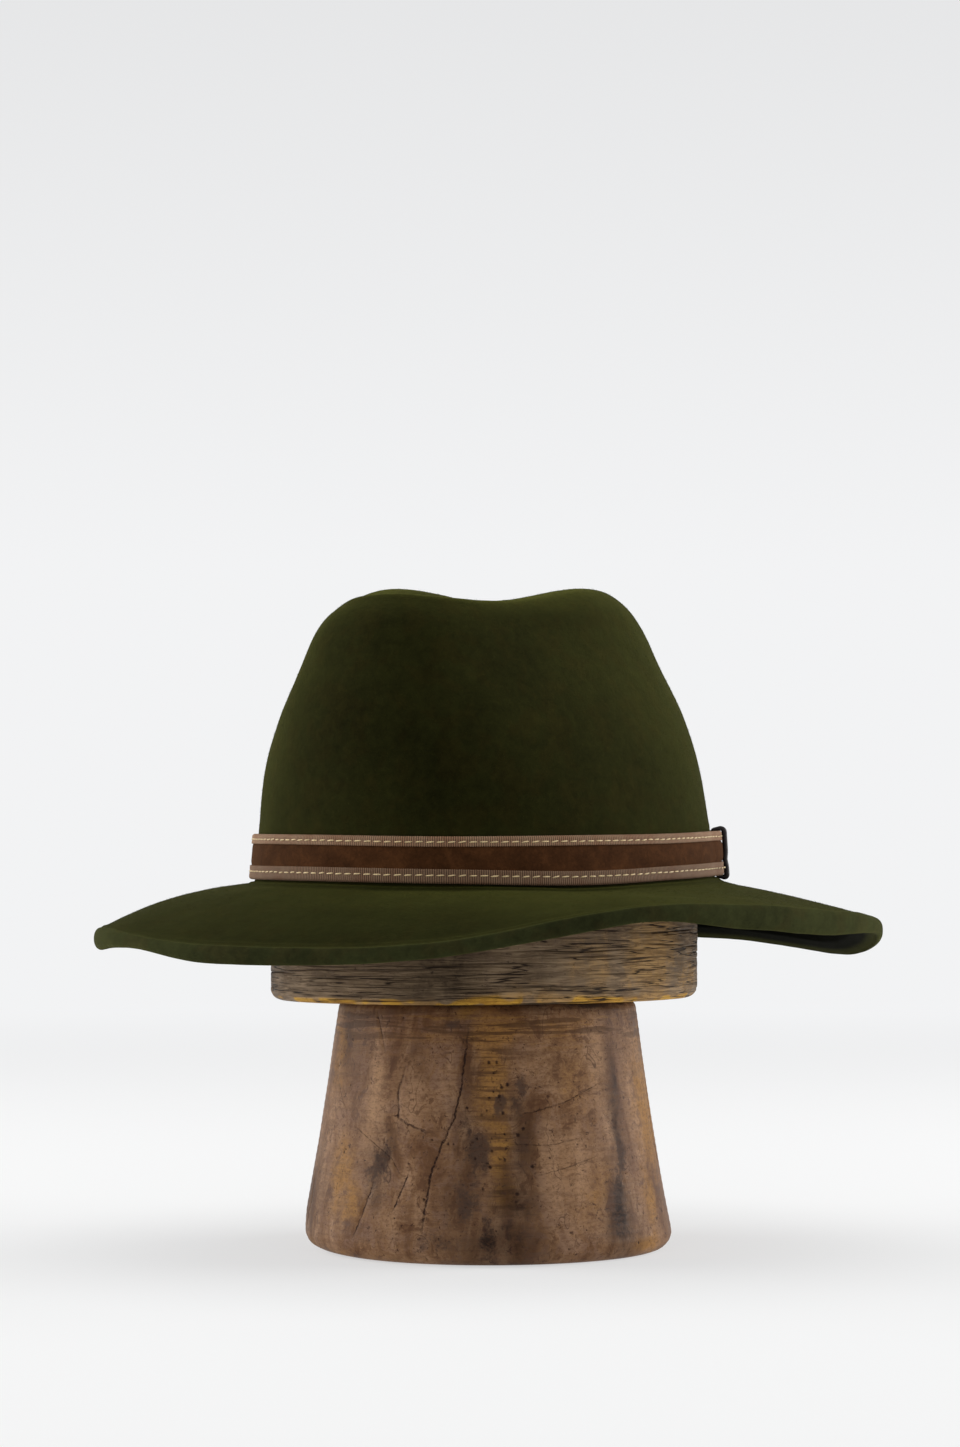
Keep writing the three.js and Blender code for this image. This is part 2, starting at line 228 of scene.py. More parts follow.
def centripetal(points, shares):
    """Points on a smooth curve through the given ones, with as many steps between any two."""
    padded = np.vstack([2 * points[0] - points[1], points, 2 * points[-1] - points[-2]])
    place = shares * (len(points) - 1)
    first = np.minimum(place.astype(int), len(points) - 2)
    p0, p1, p2, p3 = (padded[first + i] for i in range(4))
    pairs = (p0, p1), (p1, p2), (p2, p3)
    d0, d1, d2 = (np.sqrt(np.linalg.norm(b - a, axis=1, keepdims=True)) for a, b in pairs)
    leave = ((p1 - p0) / d0 - (p2 - p0) / (d0 + d1)) * d1 + p2 - p1
    arrive = ((p3 - p2) / d2 - (p3 - p1) / (d1 + d2)) * d1 + p2 - p1
    return hermite((place - first)[:, None], p1, leave, p2, arrive)


def degrees_from(middle, about):
    """Degrees from a middle to another place, from -180 to 180."""
    return (about - middle + 180) % 360 - 180


def turned(angle, middle):
    return degrees_from(middle, np.degrees(angle))


def round_table(values, angle):
    """A smooth value at each angle, through values at even steps of a turn."""
    values = np.asarray(values, float)
    place = ((angle / TURN - EDGE_FIRST_TURN) % 1) * len(values)
    first = place.astype(int)
    p0, p1, p2, p3 = (values[(first + i - 1) % len(values)] for i in range(4))
    return hermite(place - first, p1, (p2 - p0) / 2, p2, (p3 - p1) / 2)


def smooth_noise(points, per_metre, octaves=3, seed=0.0):
    """Even noise from about -1 to 1 at each point."""
    flat = points.reshape(-1, 3) * per_metre + seed
    values = [noise.fractal(Vector(p), 1.0, 2.0, octaves) for p in flat]
    return np.array(values).reshape(points.shape[:-1])


def grid_normals(points):
    """Normals of a grid of rows that each go once round, pointing out of the upper surface."""
    around = np.roll(points, -1, axis=1) - np.roll(points, 1, axis=1)
    along = np.gradient(points, axis=0)
    normal = np.cross(along, around)
    size = np.linalg.norm(normal, axis=2, keepdims=True)
    return normal / np.maximum(size, 1e-15)


# Meshes


def new_piece(name, vertices, faces, material, slot, *nodes):
    """A smooth mesh object that rides on the object's only body and stands for CAD nodes."""
    mesh = bpy.data.meshes.new(name)
    mesh.from_pydata(np.asarray(vertices).tolist(), [], faces)
    mesh.validate()
    mesh.shade_smooth()
    mesh.materials.append(material)
    piece = bpy.data.objects.new(name, mesh)
    bpy.context.scene.collection.objects.link(piece)
    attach(piece, "root")
    if nodes:
        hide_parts(*nodes)
    return piece


def capped_values(values):
    """Values for the vertices of a surface from pole to pole."""
    return np.concatenate([values[1:-1].ravel(), [values[0].mean(), values[-1].mean()]])


def paint(piece, capped=True, **fields):
    """Keeps values at the piece's vertices, which its material reads by name."""
    for name, values in fields.items():
        values = capped_values(values) if capped else values
        attribute = piece.data.attributes.new(name, "FLOAT", "POINT")
        attribute.data.foreach_set("value", np.asarray(values, np.float32).ravel())


def ring_faces(rows, around, joined=False, flip=False):
    """Faces between rows of points that each go once round. The last row may join the first one."""
    faces = []
    steps = np.arange(around)
    after = (steps + 1) % around
    for row in range(rows if joined else rows - 1):
        here = row * around
        there = (row + 1) % rows * around
        quad = np.stack([here + steps, there + steps, there + after, here + after], axis=1)
        faces.extend((quad[:, ::-1] if flip else quad).tolist())
    return faces


def fan_faces(ring_start, around, pole, flip=False):
    steps = np.arange(around)
    after = (steps + 1) % around
    fan = np.stack([np.full(around, pole), ring_start + steps, ring_start + after], axis=1)
    return (fan[:, ::-1] if flip else fan).tolist()


def capped_surface(points):
    """Vertices and faces of rows of points from one pole to the other. The first and last row are
    each drawn together into one point."""
    rows, around = points.shape[:2]
    vertices = np.vstack([points[1:-1].reshape(-1, 3), points[0].mean(0), points[-1].mean(0)])
    count = (rows - 2) * around
    faces = ring_faces(rows - 2, around)
    faces += fan_faces(0, around, count)
    faces += fan_faces((rows - 3) * around, around, count + 1, flip=True)
    return vertices, faces


# Materials


class Finish:
    """A material's node tree, with short calls for the nodes that the finishes share. Its body
    colour is built up in coats."""

    def __init__(self, name, **constants):
        self.material = bpy.data.materials.new(name)
        self.material.use_nodes = True
        self.tree = self.material.node_tree
        self.shader = self.tree.nodes["Principled BSDF"]
        self.body = None
        self.set(**constants)

    def node(self, kind, inputs=None, **settings):
        node = self.tree.nodes.new("ShaderNode" + kind)
        for key, value in settings.items():
            setattr(node, key, value)
        for key, value in (inputs or {}).items():
            self.feed(node.inputs[key], value)
        return node

    def feed(self, socket, value):
        if isinstance(value, bpy.types.NodeSocket):
            self.tree.links.new(value, socket)
        else:
            socket.default_value = value

    def set(self, **inputs):
        """Feeds the shader's sockets and gives the material."""
        if self.body is not None:
            inputs["Base_Color"] = self.body
        for socket, value in inputs.items():
            self.feed(self.shader.inputs[socket.replace("_", " ")], value)
        return self.material

    def place(self, scale=(1, 1, 1), turn=(0, 0, 0)):
        """The point on the object, in metres, stretched along the axes."""
        coordinates = self.node("TexCoord").outputs["Object"]
        inputs = {"Vector": coordinates, "Scale": scale, "Rotation": turn}
        return self.node("Mapping", inputs).outputs[0]

    def noise(self, place, scale, detail=3.0, roughness=0.5, distortion=0.0):
        inputs = {"Vector": place, "Scale": scale, "Detail": detail, "Roughness": roughness}
        inputs["Distortion"] = distortion
        return self.node("TexNoise", inputs).outputs[0]

    def field(self, name):
        return self.node("Attribute", attribute_name=name).outputs["Fac"]

    def ramp(self, factor, *stops):
        """Colours or values at places from 0 to 1."""
        node = self.node("ValToRGB", {"Fac": factor})
        set_stops(node.color_ramp.elements, stops)
        return node.outputs[0]

    def math(self, operation, a, b=0.0, clamp=False):
        node = self.node("Math", operation=operation, use_clamp=clamp)
        self.feed(node.inputs[0], a)
        self.feed(node.inputs[1], b)
        return node.outputs[0]

    def times(self, a, b, clamp=False):
        return self.math("MULTIPLY", a, b, clamp)

    def total(self, *parts):
        """The sum of values, each taken by its share."""
        result = 0.0
        for value, share in parts:
            result = self.math("ADD", self.times(value, share), result)
        return result

    def most(self, *values):
        result = 0.0
        for value in values:
            result = self.math("MAXIMUM", value, result)
        return result

    def between(self, value, low, high):
        """0 below low and 1 above high."""
        node = self.node("MapRange", {"Value": value, "From Min": low, "From Max": high})
        node.interpolation_type = "SMOOTHSTEP"
        return node.outputs[0]

    def hairline(self, value, width):
        """1 where a noise crosses its middle value, which draws thin lines."""
        away = self.math("ABSOLUTE", self.math("SUBTRACT", value, 0.5))
        return self.between(away, width, 0.2 * width)

    def broken(self, name, coarse, fine, low, high):
        """A value kept at the vertices, with an edge that two noises break up."""
        value = self.field(name)
        coarse = self.math("SUBTRACT", coarse, 0.5)
        fine = self.math("SUBTRACT", fine, 0.5)
        uneven = self.total((value, 1), (coarse, 1.5), (fine, 0.8))
        return self.times(self.between(uneven, low, high), self.between(value, 0.0, 0.2))

    def shade(self, coarse):
        """Painted shade and dark stains kept at the vertices, a little uneven."""
        uneven = self.math("ADD", 0.3, self.times(coarse, 1.4))
        return self.times(self.field("shade"), uneven, clamp=True)

    def mix(self, factor, a, b, blend="MIX"):
        node = self.node("Mix", data_type="RGBA", blend_type=blend)
        self.feed(node.inputs["Factor"], factor)
        for socket, value in ((node.inputs[6], a), (node.inputs[7], b)):
            self.feed(socket, value if isinstance(value, bpy.types.NodeSocket) else (*value, 1))
        return node.outputs[2]

    def coat(self, mask, share, colour, blend="MIX"):
        """Lays a colour over the body colour where a mask shows, at a share of full strength."""
        self.body = self.mix(self.times(mask, share), self.body, colour, blend)

    def bump(self, height, distance, strength=1.0, below=None):
        inputs = {"Height": height, "Distance": distance, "Strength": strength}
        if below is not None:
            inputs["Normal"] = below
        return self.node("Bump", inputs).outputs[0]


def set_stops(elements, stops):
    """Fills a colour ramp with places and colours or values."""
    while len(elements) < len(stops):
        elements.new(0.5)
    for element, (place, value) in zip(elements, stops):
        element.position = place
        element.color = (*value, 1) if hasattr(value, "__len__") else (value, value, value, 1)


def felt_finish(felt, name="wool_felt"):
    finish = Finish(name, Roughness=0.95, Specular_IOR_Level=0.03, Sheen_Roughness=0.42)
    place = finish.place()
    brim, under = finish.field("brim"), finish.field("under")
    clouds = finish.noise(place, 26, 4, 0.55)
    mottle = finish.noise(place, 240, 3, 0.6, 0.6)
    grain = finish.noise(place, 1500, 3, 0.65, 1.5)
    tone = finish.total((clouds, 0.42), (mottle, 0.33), (grain, 0.25))
    finish.body = finish.ramp(tone, (0.36, felt.dark), (0.64, felt.light))
    reddish = finish.between(finish.noise(place, 95, 3, 0.6), 0.46, 0.62)
    finish.coat(reddish, 0.5, (1.25, 0.98, 0.95), "MULTIPLY")
    # Painted sheen: the turned edge, and more faintly the crease above it, are made lighter
    finish.coat(finish.field("edge"), 1, (2.25, 2.4, 3.5), "MULTIPLY")
    strands = finish.noise(finish.place((1, 1, 0.35), (0.4, 0.2, 0.9)), 1300, 2, 0.5, 5.0)
    strand_share = finish.math("ADD", 0.45, finish.times(brim, 0.30))
    pale = tuple(min(1, 2.1 * c) for c in felt.light)
    finish.coat(finish.between(strands, 0.66, 0.76), strand_share, pale)
    # Painted shade: the brim's upper side is darkened against the light from above
    finish.coat(brim, 1, (0.76, 0.77, 0.82), "MULTIPLY")
    # Painted shade: the brim's underside inside the turned edge is made nearly black
    finish.coat(under, 1, (0.10, 0.11, 0.10), "MULTIPLY")
    soft = finish.bump(finish.noise(place, 420, 3, 0.6, 1.0), 0.25 * MM, 0.5)
    fine = finish.bump(finish.noise(place, 1900, 3, 0.7, 2.0), 0.12 * MM, 0.8, soft)
    less_sheen = finish.total((brim, 0.050), (under, 0.065))
    sheen = finish.math("SUBTRACT", 0.125, less_sheen)
    return finish.set(Normal=fine, Sheen_Weight=sheen, Sheen_Tint=(*felt.sheen, 1))


def suede_finish(band):
    finish = Finish("brown_suede", Roughness=0.9, Specular_IOR_Level=0.04)
    finish.set(Sheen_Weight=0.045, Sheen_Roughness=0.4, Sheen_Tint=(0.85, 0.45, 0.18, 1))
    base = np.array(band.suede_colour)
    place = finish.place()
    brushed = finish.noise(place, 70, 4, 0.6, 1.6)
    nap = finish.noise(place, 520, 3, 0.65, 1.2)
    tone = finish.total((brushed, 0.6), (nap, 0.4))
    finish.body = finish.ramp(tone, (0.30, base * 0.55), (0.5, base), (0.72, base * 1.75))
    rough = finish.noise(place, 1500, 3, 0.7, 1.0)
    return finish.set(Normal=finish.bump(rough, 0.12 * MM, 0.7))


def ribbon_finish(band, painted_light_scale):
    finish = Finish("ribbed_ribbon", Roughness=0.72, Specular_IOR_Level=0.15)
    finish.set(Sheen_Weight=0.05, Sheen_Roughness=0.4, Sheen_Tint=(0.9, 0.75, 0.62, 1))
    # Painted light and shade: each ribbon's colour is scaled, lighter for the upper one
    base = np.array(band.ribbon_colour) * painted_light_scale
    rib = finish.field("rib")
    # Painted shade in the valleys between the ribs and painted highlight on their ridges
    finish.body = finish.ramp(rib, (0.0, base * 0.42), (0.45, base * 0.9), (1.0, base * 1.32))
    blush = finish.noise(finish.place(), 120, 3, 0.6)
    finish.coat(finish.between(blush, 0.35, 0.75), 0.45, (0.30, 0.150, 0.105), "SOFT_LIGHT")
    weave = finish.noise(finish.place((1, 1, 2.6)), 1800, 2, 0.6)
    finish.coat(finish.between(weave, 0.45, 0.7), 0.35, base * 0.45)
    return finish.set(Normal=finish.bump(weave, 0.08 * MM, 0.6))


def thread_finish(band):
    finish = Finish("sewing_thread", Roughness=0.5, Specular_IOR_Level=0.4, Sheen_Weight=0.1)
    base = np.array(band.thread_colour)
    ply = finish.noise(finish.place((1, 1, 0.5), (0, 0.6, 0)), 2600, 2, 0.5)
    finish.body = finish.ramp(ply, (0.3, base * 0.62), (0.65, base * 1.25))
    return finish.set(Normal=finish.bump(ply, 0.1 * MM, 0.6))


def leather_finish(band):
    finish = Finish("keeper_leather", Specular_IOR_Level=0.25)
    base = np.array(band.keeper_colour)
    place = finish.place()
    tone = finish.noise(place, 300, 3)
    finish.body = finish.ramp(tone, (0.35, base), (0.7, base * 2.4))
    roughness = finish.ramp(tone, (0.3, 0.48), (0.7, 0.66))
    grain = finish.node("TexVoronoi", {"Vector": place, "Scale": 1500}).outputs[0]
    return finish.set(Roughness=roughness, Normal=finish.bump(grain, 0.1 * MM, 0.5))


def block_finish():
    """Dry old wood: long dark checks along the grain, pale ridges between, ochre where worn, and
    painted shade on its front.
    """
    finish = Finish("old_block_wood", Specular_IOR_Level=0.07)
    place = finish.place()
    grain = finish.noise(finish.place((0.035, 0.035, 1), (0.012, -0.02, 0)), 470, 2, 0.5, 0.35)
    close = finish.noise(finish.place((0.08, 0.08, 1), (-0.015, 0.010, 0)), 900, 3, 0.6, 0.8)
    gaps = finish.noise(finish.place((0.16, 0.16, 1)), 210, 3, 0.6)
    broad = finish.noise(finish.place((0.35, 0.35, 1)), 75, 4, 0.6, 0.5)
    mottle = finish.noise(place, 190, 5, 0.70, 0.6)
    dark, plain, pale = (0.125, 0.082, 0.047), (0.200, 0.136, 0.080), (0.285, 0.200, 0.122)
    finish.body = finish.ramp(close, (0.36, dark), (0.50, plain), (0.64, pale))
    finish.coat(finish.between(broad, 0.40, 0.60), 0.5, (0.120, 0.080, 0.048))
    finish.coat(finish.between(mottle, 0.48, 0.66), 0.45, (0.260, 0.176, 0.116))
    ochre = finish.ramp(close, (0.36, (0.215, 0.118, 0.040)), (0.60, (0.400, 0.235, 0.085)))
    finish.coat(finish.broken("ochre", mottle, close, 0.05, 1.05), 0.85, ochre)
    gold = finish.ramp(close, (0.36, (0.27, 0.130, 0.020)), (0.60, (0.52, 0.290, 0.045)))
    finish.coat(finish.between(finish.field("gold"), 0.15, 0.55), 1, gold)
    # Painted shade on the block's front, with dark stains
    finish.coat(finish.shade(mottle), 1, (0.20, 0.19, 0.17), "MULTIPLY")
    checks = finish.times(finish.hairline(grain, 0.027), finish.between(gaps, 0.38, 0.46))
    fine_checks = finish.times(finish.hairline(close, 0.018), finish.between(mottle, 0.47, 0.58))
    fine_checks = finish.times(fine_checks, 0.6)
    pits = finish.times(finish.between(finish.noise(place, 620, 3, 0.7), 0.655, 0.72), 0.8)
    lines = finish.most(checks, fine_checks, pits, finish.field("crack"))
    finish.coat(lines, 0.92, (0.012, 0.0065, 0.004))
    roughness = finish.ramp(mottle, (0.3, 0.46), (0.7, 0.66))
    normal = finish.bump(finish.math("SUBTRACT", close, lines), 0.35 * MM, 0.7)
    normal = finish.bump(finish.noise(place, 1300, 3, 0.6), 0.10 * MM, 0.4, normal)
    return finish.set(Roughness=roughness, Normal=normal)


def pedestal_finish():
    """Old turned wood: turning lines, ochre wear, dark stains, cracks and worm holes under a dull
    polish, painted shade on its front and under the block, and painted highlights of the lamps."""
    finish = Finish("old_turned_wood", Specular_IOR_Level=0.055)
    place = finish.place()
    smear = finish.noise(finish.place((1, 1, 0.30)), 62, 5, 0.60, 0.8)
    mottle = finish.noise(place, 125, 5, 0.70, 0.6)
    fine = finish.noise(place, 640, 4, 0.70, 0.4)
    rings = finish.noise(finish.place((0.07, 0.07, 1)), 430, 4, 0.62, 0.2)
    close = finish.noise(finish.place((0.5, 0.5, 1)), 900, 4, 0.75, 0.5)
    turned_wood = finish.field("turned")
    dark, plain, pale = (0.118, 0.057, 0.027), (0.195, 0.105, 0.053), (0.280, 0.164, 0.092)
    finish.body = finish.ramp(smear, (0.38, dark), (0.49, plain), (0.60, pale))
    finish.coat(finish.between(mottle, 0.47, 0.60), 0.60, (0.188, 0.110, 0.074))
    finish.coat(finish.between(mottle, 0.45, 0.37), 0.62, (0.072, 0.031, 0.016))
    # Pale wood, and painted highlights where the side lamps shine
    finish.coat(finish.broken("pale", mottle, fine, 0.0, 1.1), 1, (0.318, 0.186, 0.098))
    finish.coat(finish.broken("ochre", mottle, fine, 0.10, 0.95), 0.80, (0.275, 0.136, 0.036))
    finish.coat(finish.between(rings, 0.50, 0.62), 0.22, (0.085, 0.045, 0.026))
    dark_rings = finish.times(turned_wood, finish.between(rings, 0.50, 0.57))
    finish.coat(dark_rings, 0.72, (0.055, 0.026, 0.011))
    ochre_rings = finish.times(turned_wood, finish.between(rings, 0.42, 0.37))
    finish.coat(ochre_rings, 0.45, (0.330, 0.170, 0.040))
    # Dark stains, and a painted shadow line round the top where the foot meets the block
    finish.coat(finish.broken("stain_and_joint_shade", mottle, fine, 0.22, 0.66), 0.85, (0.066, 0.040, 0.029))
    # Painted shade on the front and under the block, with dark stains
    finish.coat(finish.shade(mottle), 1, (0.21, 0.19, 0.185), "MULTIPLY")
    finish.coat(finish.between(close, 0.47, 0.60), 0.42, (0.090, 0.042, 0.022))

    dirt = finish.times(finish.between(fine, 0.58, 0.66), finish.between(mottle, 0.40, 0.56))
    specks = finish.between(finish.noise(place, 380, 4, 0.75, 0.4), 0.605, 0.67)
    slanting = finish.noise(finish.place((1, 1, 0.3), (0.5, 0.35, 0)), 95, 2, 0.5, 0.8)
    scratches = finish.times(finish.hairline(slanting, 0.006), finish.between(smear, 0.44, 0.54))
    marks = ((dirt, 0.55), (specks, 0.8), (scratches, 0.55))
    grime = finish.most(*(finish.times(mark, share) for mark, share in marks))
    finish.coat(grime, 1, (0.030, 0.013, 0.009))

    wobble = finish.math("SUBTRACT", finish.noise(place, 380, 3, 0.6), 0.5)
    reach = finish.total((finish.field("crack_side"), 1), (wobble, 3.6))
    ragged = finish.math("ADD", 0.55, finish.between(fine, 0.42, 0.56))
    shown = finish.times(finish.field("crack_near"), ragged, clamp=True)
    crack = finish.times(finish.between(finish.math("ABSOLUTE", reach), 1.0, 0.30), shown)
    crack = finish.most(crack, finish.between(finish.field("pit"), 0.35, 0.75))
    finish.coat(crack, 0.92, (0.016, 0.0065, 0.0045))
    roughness = finish.ramp(mottle, (0.3, 0.38), (0.7, 0.60))
    normal = finish.bump(finish.math("SUBTRACT", rings, crack), 0.16 * MM, 0.8)
    normal = finish.bump(finish.noise(place, 260, 4, 0.65), 0.30 * MM, 0.5, normal)
    return finish.set(Roughness=roughness, Normal=normal)


# The felt


class FeltSurface:
    """The hat's upper surface at angles from the front. The crown is at places 0 to 1, its wall
    behind the band at 1 to 2, the turn into the brim at 2 to 3 and the brim at 3 to 4."""

    BREAK_RADIUS = 1.5 * MM
    BRIM_START_DROP = 0.5 * MM
    CREASE = 0.45 * MM
    FOOT_FILLET = 1.2 * MM
    REST_HEIGHT = 28 * MM

    def __init__(self, felt):
        self.felt = felt
        self.sections = np.array(CROWN_SECTIONS) * MM
        self.wall_top = self.sections[-1]
        turn = Matrix.Rotation(felt.pitch, 3, "X") @ Matrix.Rotation(felt.roll, 3, "Y")
        self.turn = np.array(turn)

    def seated(self, points):
        """Points of the hat as it sits on the stand."""
        pivot = np.array([0, 0, self.REST_HEIGHT])
        return (points - pivot) @ self.turn.T + pivot + (0, 0, self.felt.seat_height)

    def wall(self, angle, height):
        share = height / self.wall_top[0]
        half_length = self.felt.foot_half_length * (1 - share) + self.wall_top[1] * share
        half_width = self.felt.foot_half_width * (1 - share) + self.wall_top[2] * share
        x, y = oval(half_length, half_width, angle)
        return np.stack(np.broadcast_arrays(x, y, height), axis=-1)

    def outside_wall(self, angle, distance, height):
        """A point at a level above the crown's foot and at a distance outside its wall."""
        point = self.wall(angle, height)
        outward = np.stack(
            [
                point[..., 0] / self.felt.foot_half_width**2,
                point[..., 1] / self.felt.foot_half_length**2,
                np.zeros_like(point[..., 0]),
            ],
            axis=-1,
        )
        outward /= np.linalg.norm(outward, axis=-1, keepdims=True)
        return point + outward * np.asarray(distance)[..., None]

    def crown(self, angle, share):
        height, half_length, half_width = centripetal(self.sections, np.array([share]))[0]
        x, y = oval(max(half_length, 1e-9), max(half_width, 1e-9), angle)
        x, y, z = x / MM, y / MM, np.full_like(x, height / MM)
        top, low = self.sections[0][0] / MM, self.wall_top[0] / MM
        dented = (
            bell(x, DENT["half_width"])
            * (1 - ease(np.abs(y) / DENT["reach"], DENT["flat_share"], 1))
            * ease(z, top - DENT["reach_down"], top - 2)
        )
        pressed_x, pressed_z = x.copy(), z.copy()
        for pinch in PINCHES:
            near = bell(x - pinch["x"], PINCH_HALF_WIDTH)
            near = near * bell(y - pinch["y"], pinch["half_length"])
            push = pinch["inward"] * near * bell(z - pinch["height"], PINCH_HALF_HEIGHT)
            pressed_x -= math.copysign(1, pinch["x"]) * push
            pressed_z -= pinch["lowered"] * near * ease(z, pinch["height"], top)
        pressed_x -= self.felt.lean / MM * (z - low) / (top - low)
        pressed_z -= DENT["depth"] * dented
        return np.stack([pressed_x, y, pressed_z], axis=-1) * MM

    def edge_wave(self, angle):
        waves = (rise * MM * bell(turned(angle, at), half) for at, rise, half in EDGE_WAVES)
        return sum(waves)

    def edge_height(self, angle):
        return self.edge_wave(angle) - round_table(EDGE_DROPS, angle) * MM

    def edge_face(self, angle):
        """Height of the turned edge's outer face."""
        return round_table(EDGE_FACES, angle) * MM - self.edge_wave(angle)

    def foot_rise(self, angle):
        """How far the crown's foot lies above an even line."""
        return round_table(BAND_LOW_RISES, angle) * MM

    def brim(self, angle, share):
        felt = self.felt
        foot = felt.foot_half_length + self.BREAK_RADIUS, felt.foot_half_width + self.BREAK_RADIUS
        start = oval(*foot, angle)
        edge = felt.welt_thickness / 2
        end = oval(felt.brim_half_length - edge, felt.brim_half_width - edge, angle)
        x = start[0] * (1 - share) + (end[0] + felt.brim_shift) * share
        y = start[1] * (1 - share) + end[1] * share
        fall = self.edge_height(angle) + self.edge_face(angle) + self.BRIM_START_DROP
        rounding = BRIM_ROUNDING
        for middle, change, half_width in ROUNDING_CHANGES:
            rounding = rounding + change * bell(turned(angle, middle), half_width)
        z = fall * (share * (1 - rounding) + rounding * share**2)
        crease = self.CREASE * bell(share - 0.985, 0.02)
        rise = self.foot_rise(angle) * (1 - share) ** 2
        fillet = self.FOOT_FILLET * max(0, 1 - share / 0.06) ** 2
        return np.stack([x, y, z - self.BRIM_START_DROP + crease + rise + fillet], axis=-1)

    def point(self, angle, place):
        if place <= 1:
            return self.crown(angle, place)
        if place <= 2:
            top = self.wall_top[0]
            low = self.BREAK_RADIUS + self.foot_rise(angle)
            return self.wall(angle, top + (low - top) * (place - 1))
        if place >= 3:
            return self.brim(angle, place - 3)
        share = place - 2
        upper = self.wall(angle, self.BREAK_RADIUS + self.foot_rise(angle))
        corner = self.wall(angle, self.foot_rise(angle))
        lower = self.brim(angle, 0)
        return (1 - share) ** 2 * upper + 2 * share * (1 - share) * corner + share**2 * lower

    def grid(self, angle, places):
        return np.stack([self.point(angle, place) for place in places])


# Rows of points from the crown's top to the brim's edge
CROWN_ROWS, WALL_ROWS, TURN_ROWS, BRIM_ROWS, EDGE_ROWS = 105, 7, 5, 51, 18
FIRST_BRIM_ROW = CROWN_ROWS + WALL_ROWS + TURN_ROWS


def felt_body(context):
    """Crown and brim: the upper skin, the turned edge, then the lower skin back to the top."""
    felt = context.scene.loden_felt
    surface = FeltSurface(felt)
    angle = np.arange(felt.around) * TURN / felt.around
    crown = np.linspace(0, 1, CROWN_ROWS)
    wall = np.linspace(1, 2, WALL_ROWS + 1)[1:]
    turn = np.linspace(2, 3, TURN_ROWS + 1)[1:]
    brim = 3 + np.linspace(0, 1, BRIM_ROWS + 1)[1:]
    places = np.concatenate([crown, wall, turn, brim])
    upper = surface.grid(angle, places)
    normal = grid_normals(upper)
    normal[0] = (0, 0, 1)
    uneven = 0.45 * smooth_noise(upper, 22, 2, 3.1) + 0.12 * smooth_noise(upper, 85, 2, 7.7)
    behind_band = np.clip(1.4 * bell(places - 1.9, 0.75), 0, 1)[:, None]
    upper = upper + normal * (uneven * MM * (1 - behind_band))[..., None]
    normal = grid_normals(upper)
    normal[0] = (0, 0, 1)

    radial = np.stack([np.sin(angle), -np.cos(angle), np.zeros_like(angle)], axis=-1)
    face = surface.edge_face(angle)[:, None]
    half = felt.welt_thickness / 2
    top_edge = upper[-1]
    edge_rows = []
    rounder = bell(turned(angle, ROUND_EDGE_MIDDLE), ROUND_EDGE_HALF_WIDTH)[:, None]
    for turn_angle in np.linspace(0, math.pi, EDGE_ROWS + 2)[1:-1]:
        out = math.sin(turn_angle) ** (0.7 + 0.3 * rounder)
        fall = abs(math.cos(turn_angle)) ** (0.80 + 0.2 * rounder)
        down = (1 - np.copysign(fall, math.cos(turn_angle))) / 2
        edge_rows.append(top_edge + radial * half * out - np.array([0, 0, 1]) * face * down)

    brim_width = felt.brim_half_width - felt.foot_half_width
    inward = 4 - places
    welt_share = felt.welt_width / brim_width
    in_welt = 1 - ease(inward, welt_share, welt_share + 1.8 * MM / brim_width)
    thickness = felt.thickness + (felt.welt_thickness - felt.thickness) * in_welt
    lower = upper - normal * thickness[:, None, None]
    to_edge = top_edge - np.array([0, 0, 1]) * face - lower[-1]
    near_edge = bell(inward, welt_share * 0.9)
    lower = lower + to_edge[None] * near_edge[:, None, None]
    every_third = np.arange(0, CROWN_ROWS, 3)
    every_second = np.arange(CROWN_ROWS + 1, FIRST_BRIM_ROW, 2)
    below = np.concatenate([every_third, every_second, np.arange(FIRST_BRIM_ROW, len(places))])
    lower_rows = lower[below][::-1]
    points = np.concatenate([upper, np.stack(edge_rows), lower_rows])
    vertices, faces = capped_surface(surface.seated(points))
    piece = new_piece("felt", vertices, faces, felt_finish(felt), "felt", "hat_body")
    # Painted sheen on the turned edge, and a fainter line of it along the crease
    edge = np.zeros(points.shape[:2])
    edge[: len(places)] = 0.4 * bell(4 - places, 0.012)[:, None]
    edge[len(places) : len(places) + len(edge_rows)] = 1
    # Where the brim is: painted shade there, more pale strands and less sheen
    on_brim = np.ones(points.shape[:2])
    on_brim[: len(places)] = ease(places, 2.5, 3.1)[:, None]
    # The brim's underside inside the turned edge, which gets painted shade
    under = np.zeros(points.shape[:2])
    under[-len(below) :] = ease(inward / welt_share, 0.34, 0.58)[below][::-1, None]
    paint(piece, edge=edge, brim=on_brim, under=under)
    return surface, upper, normal


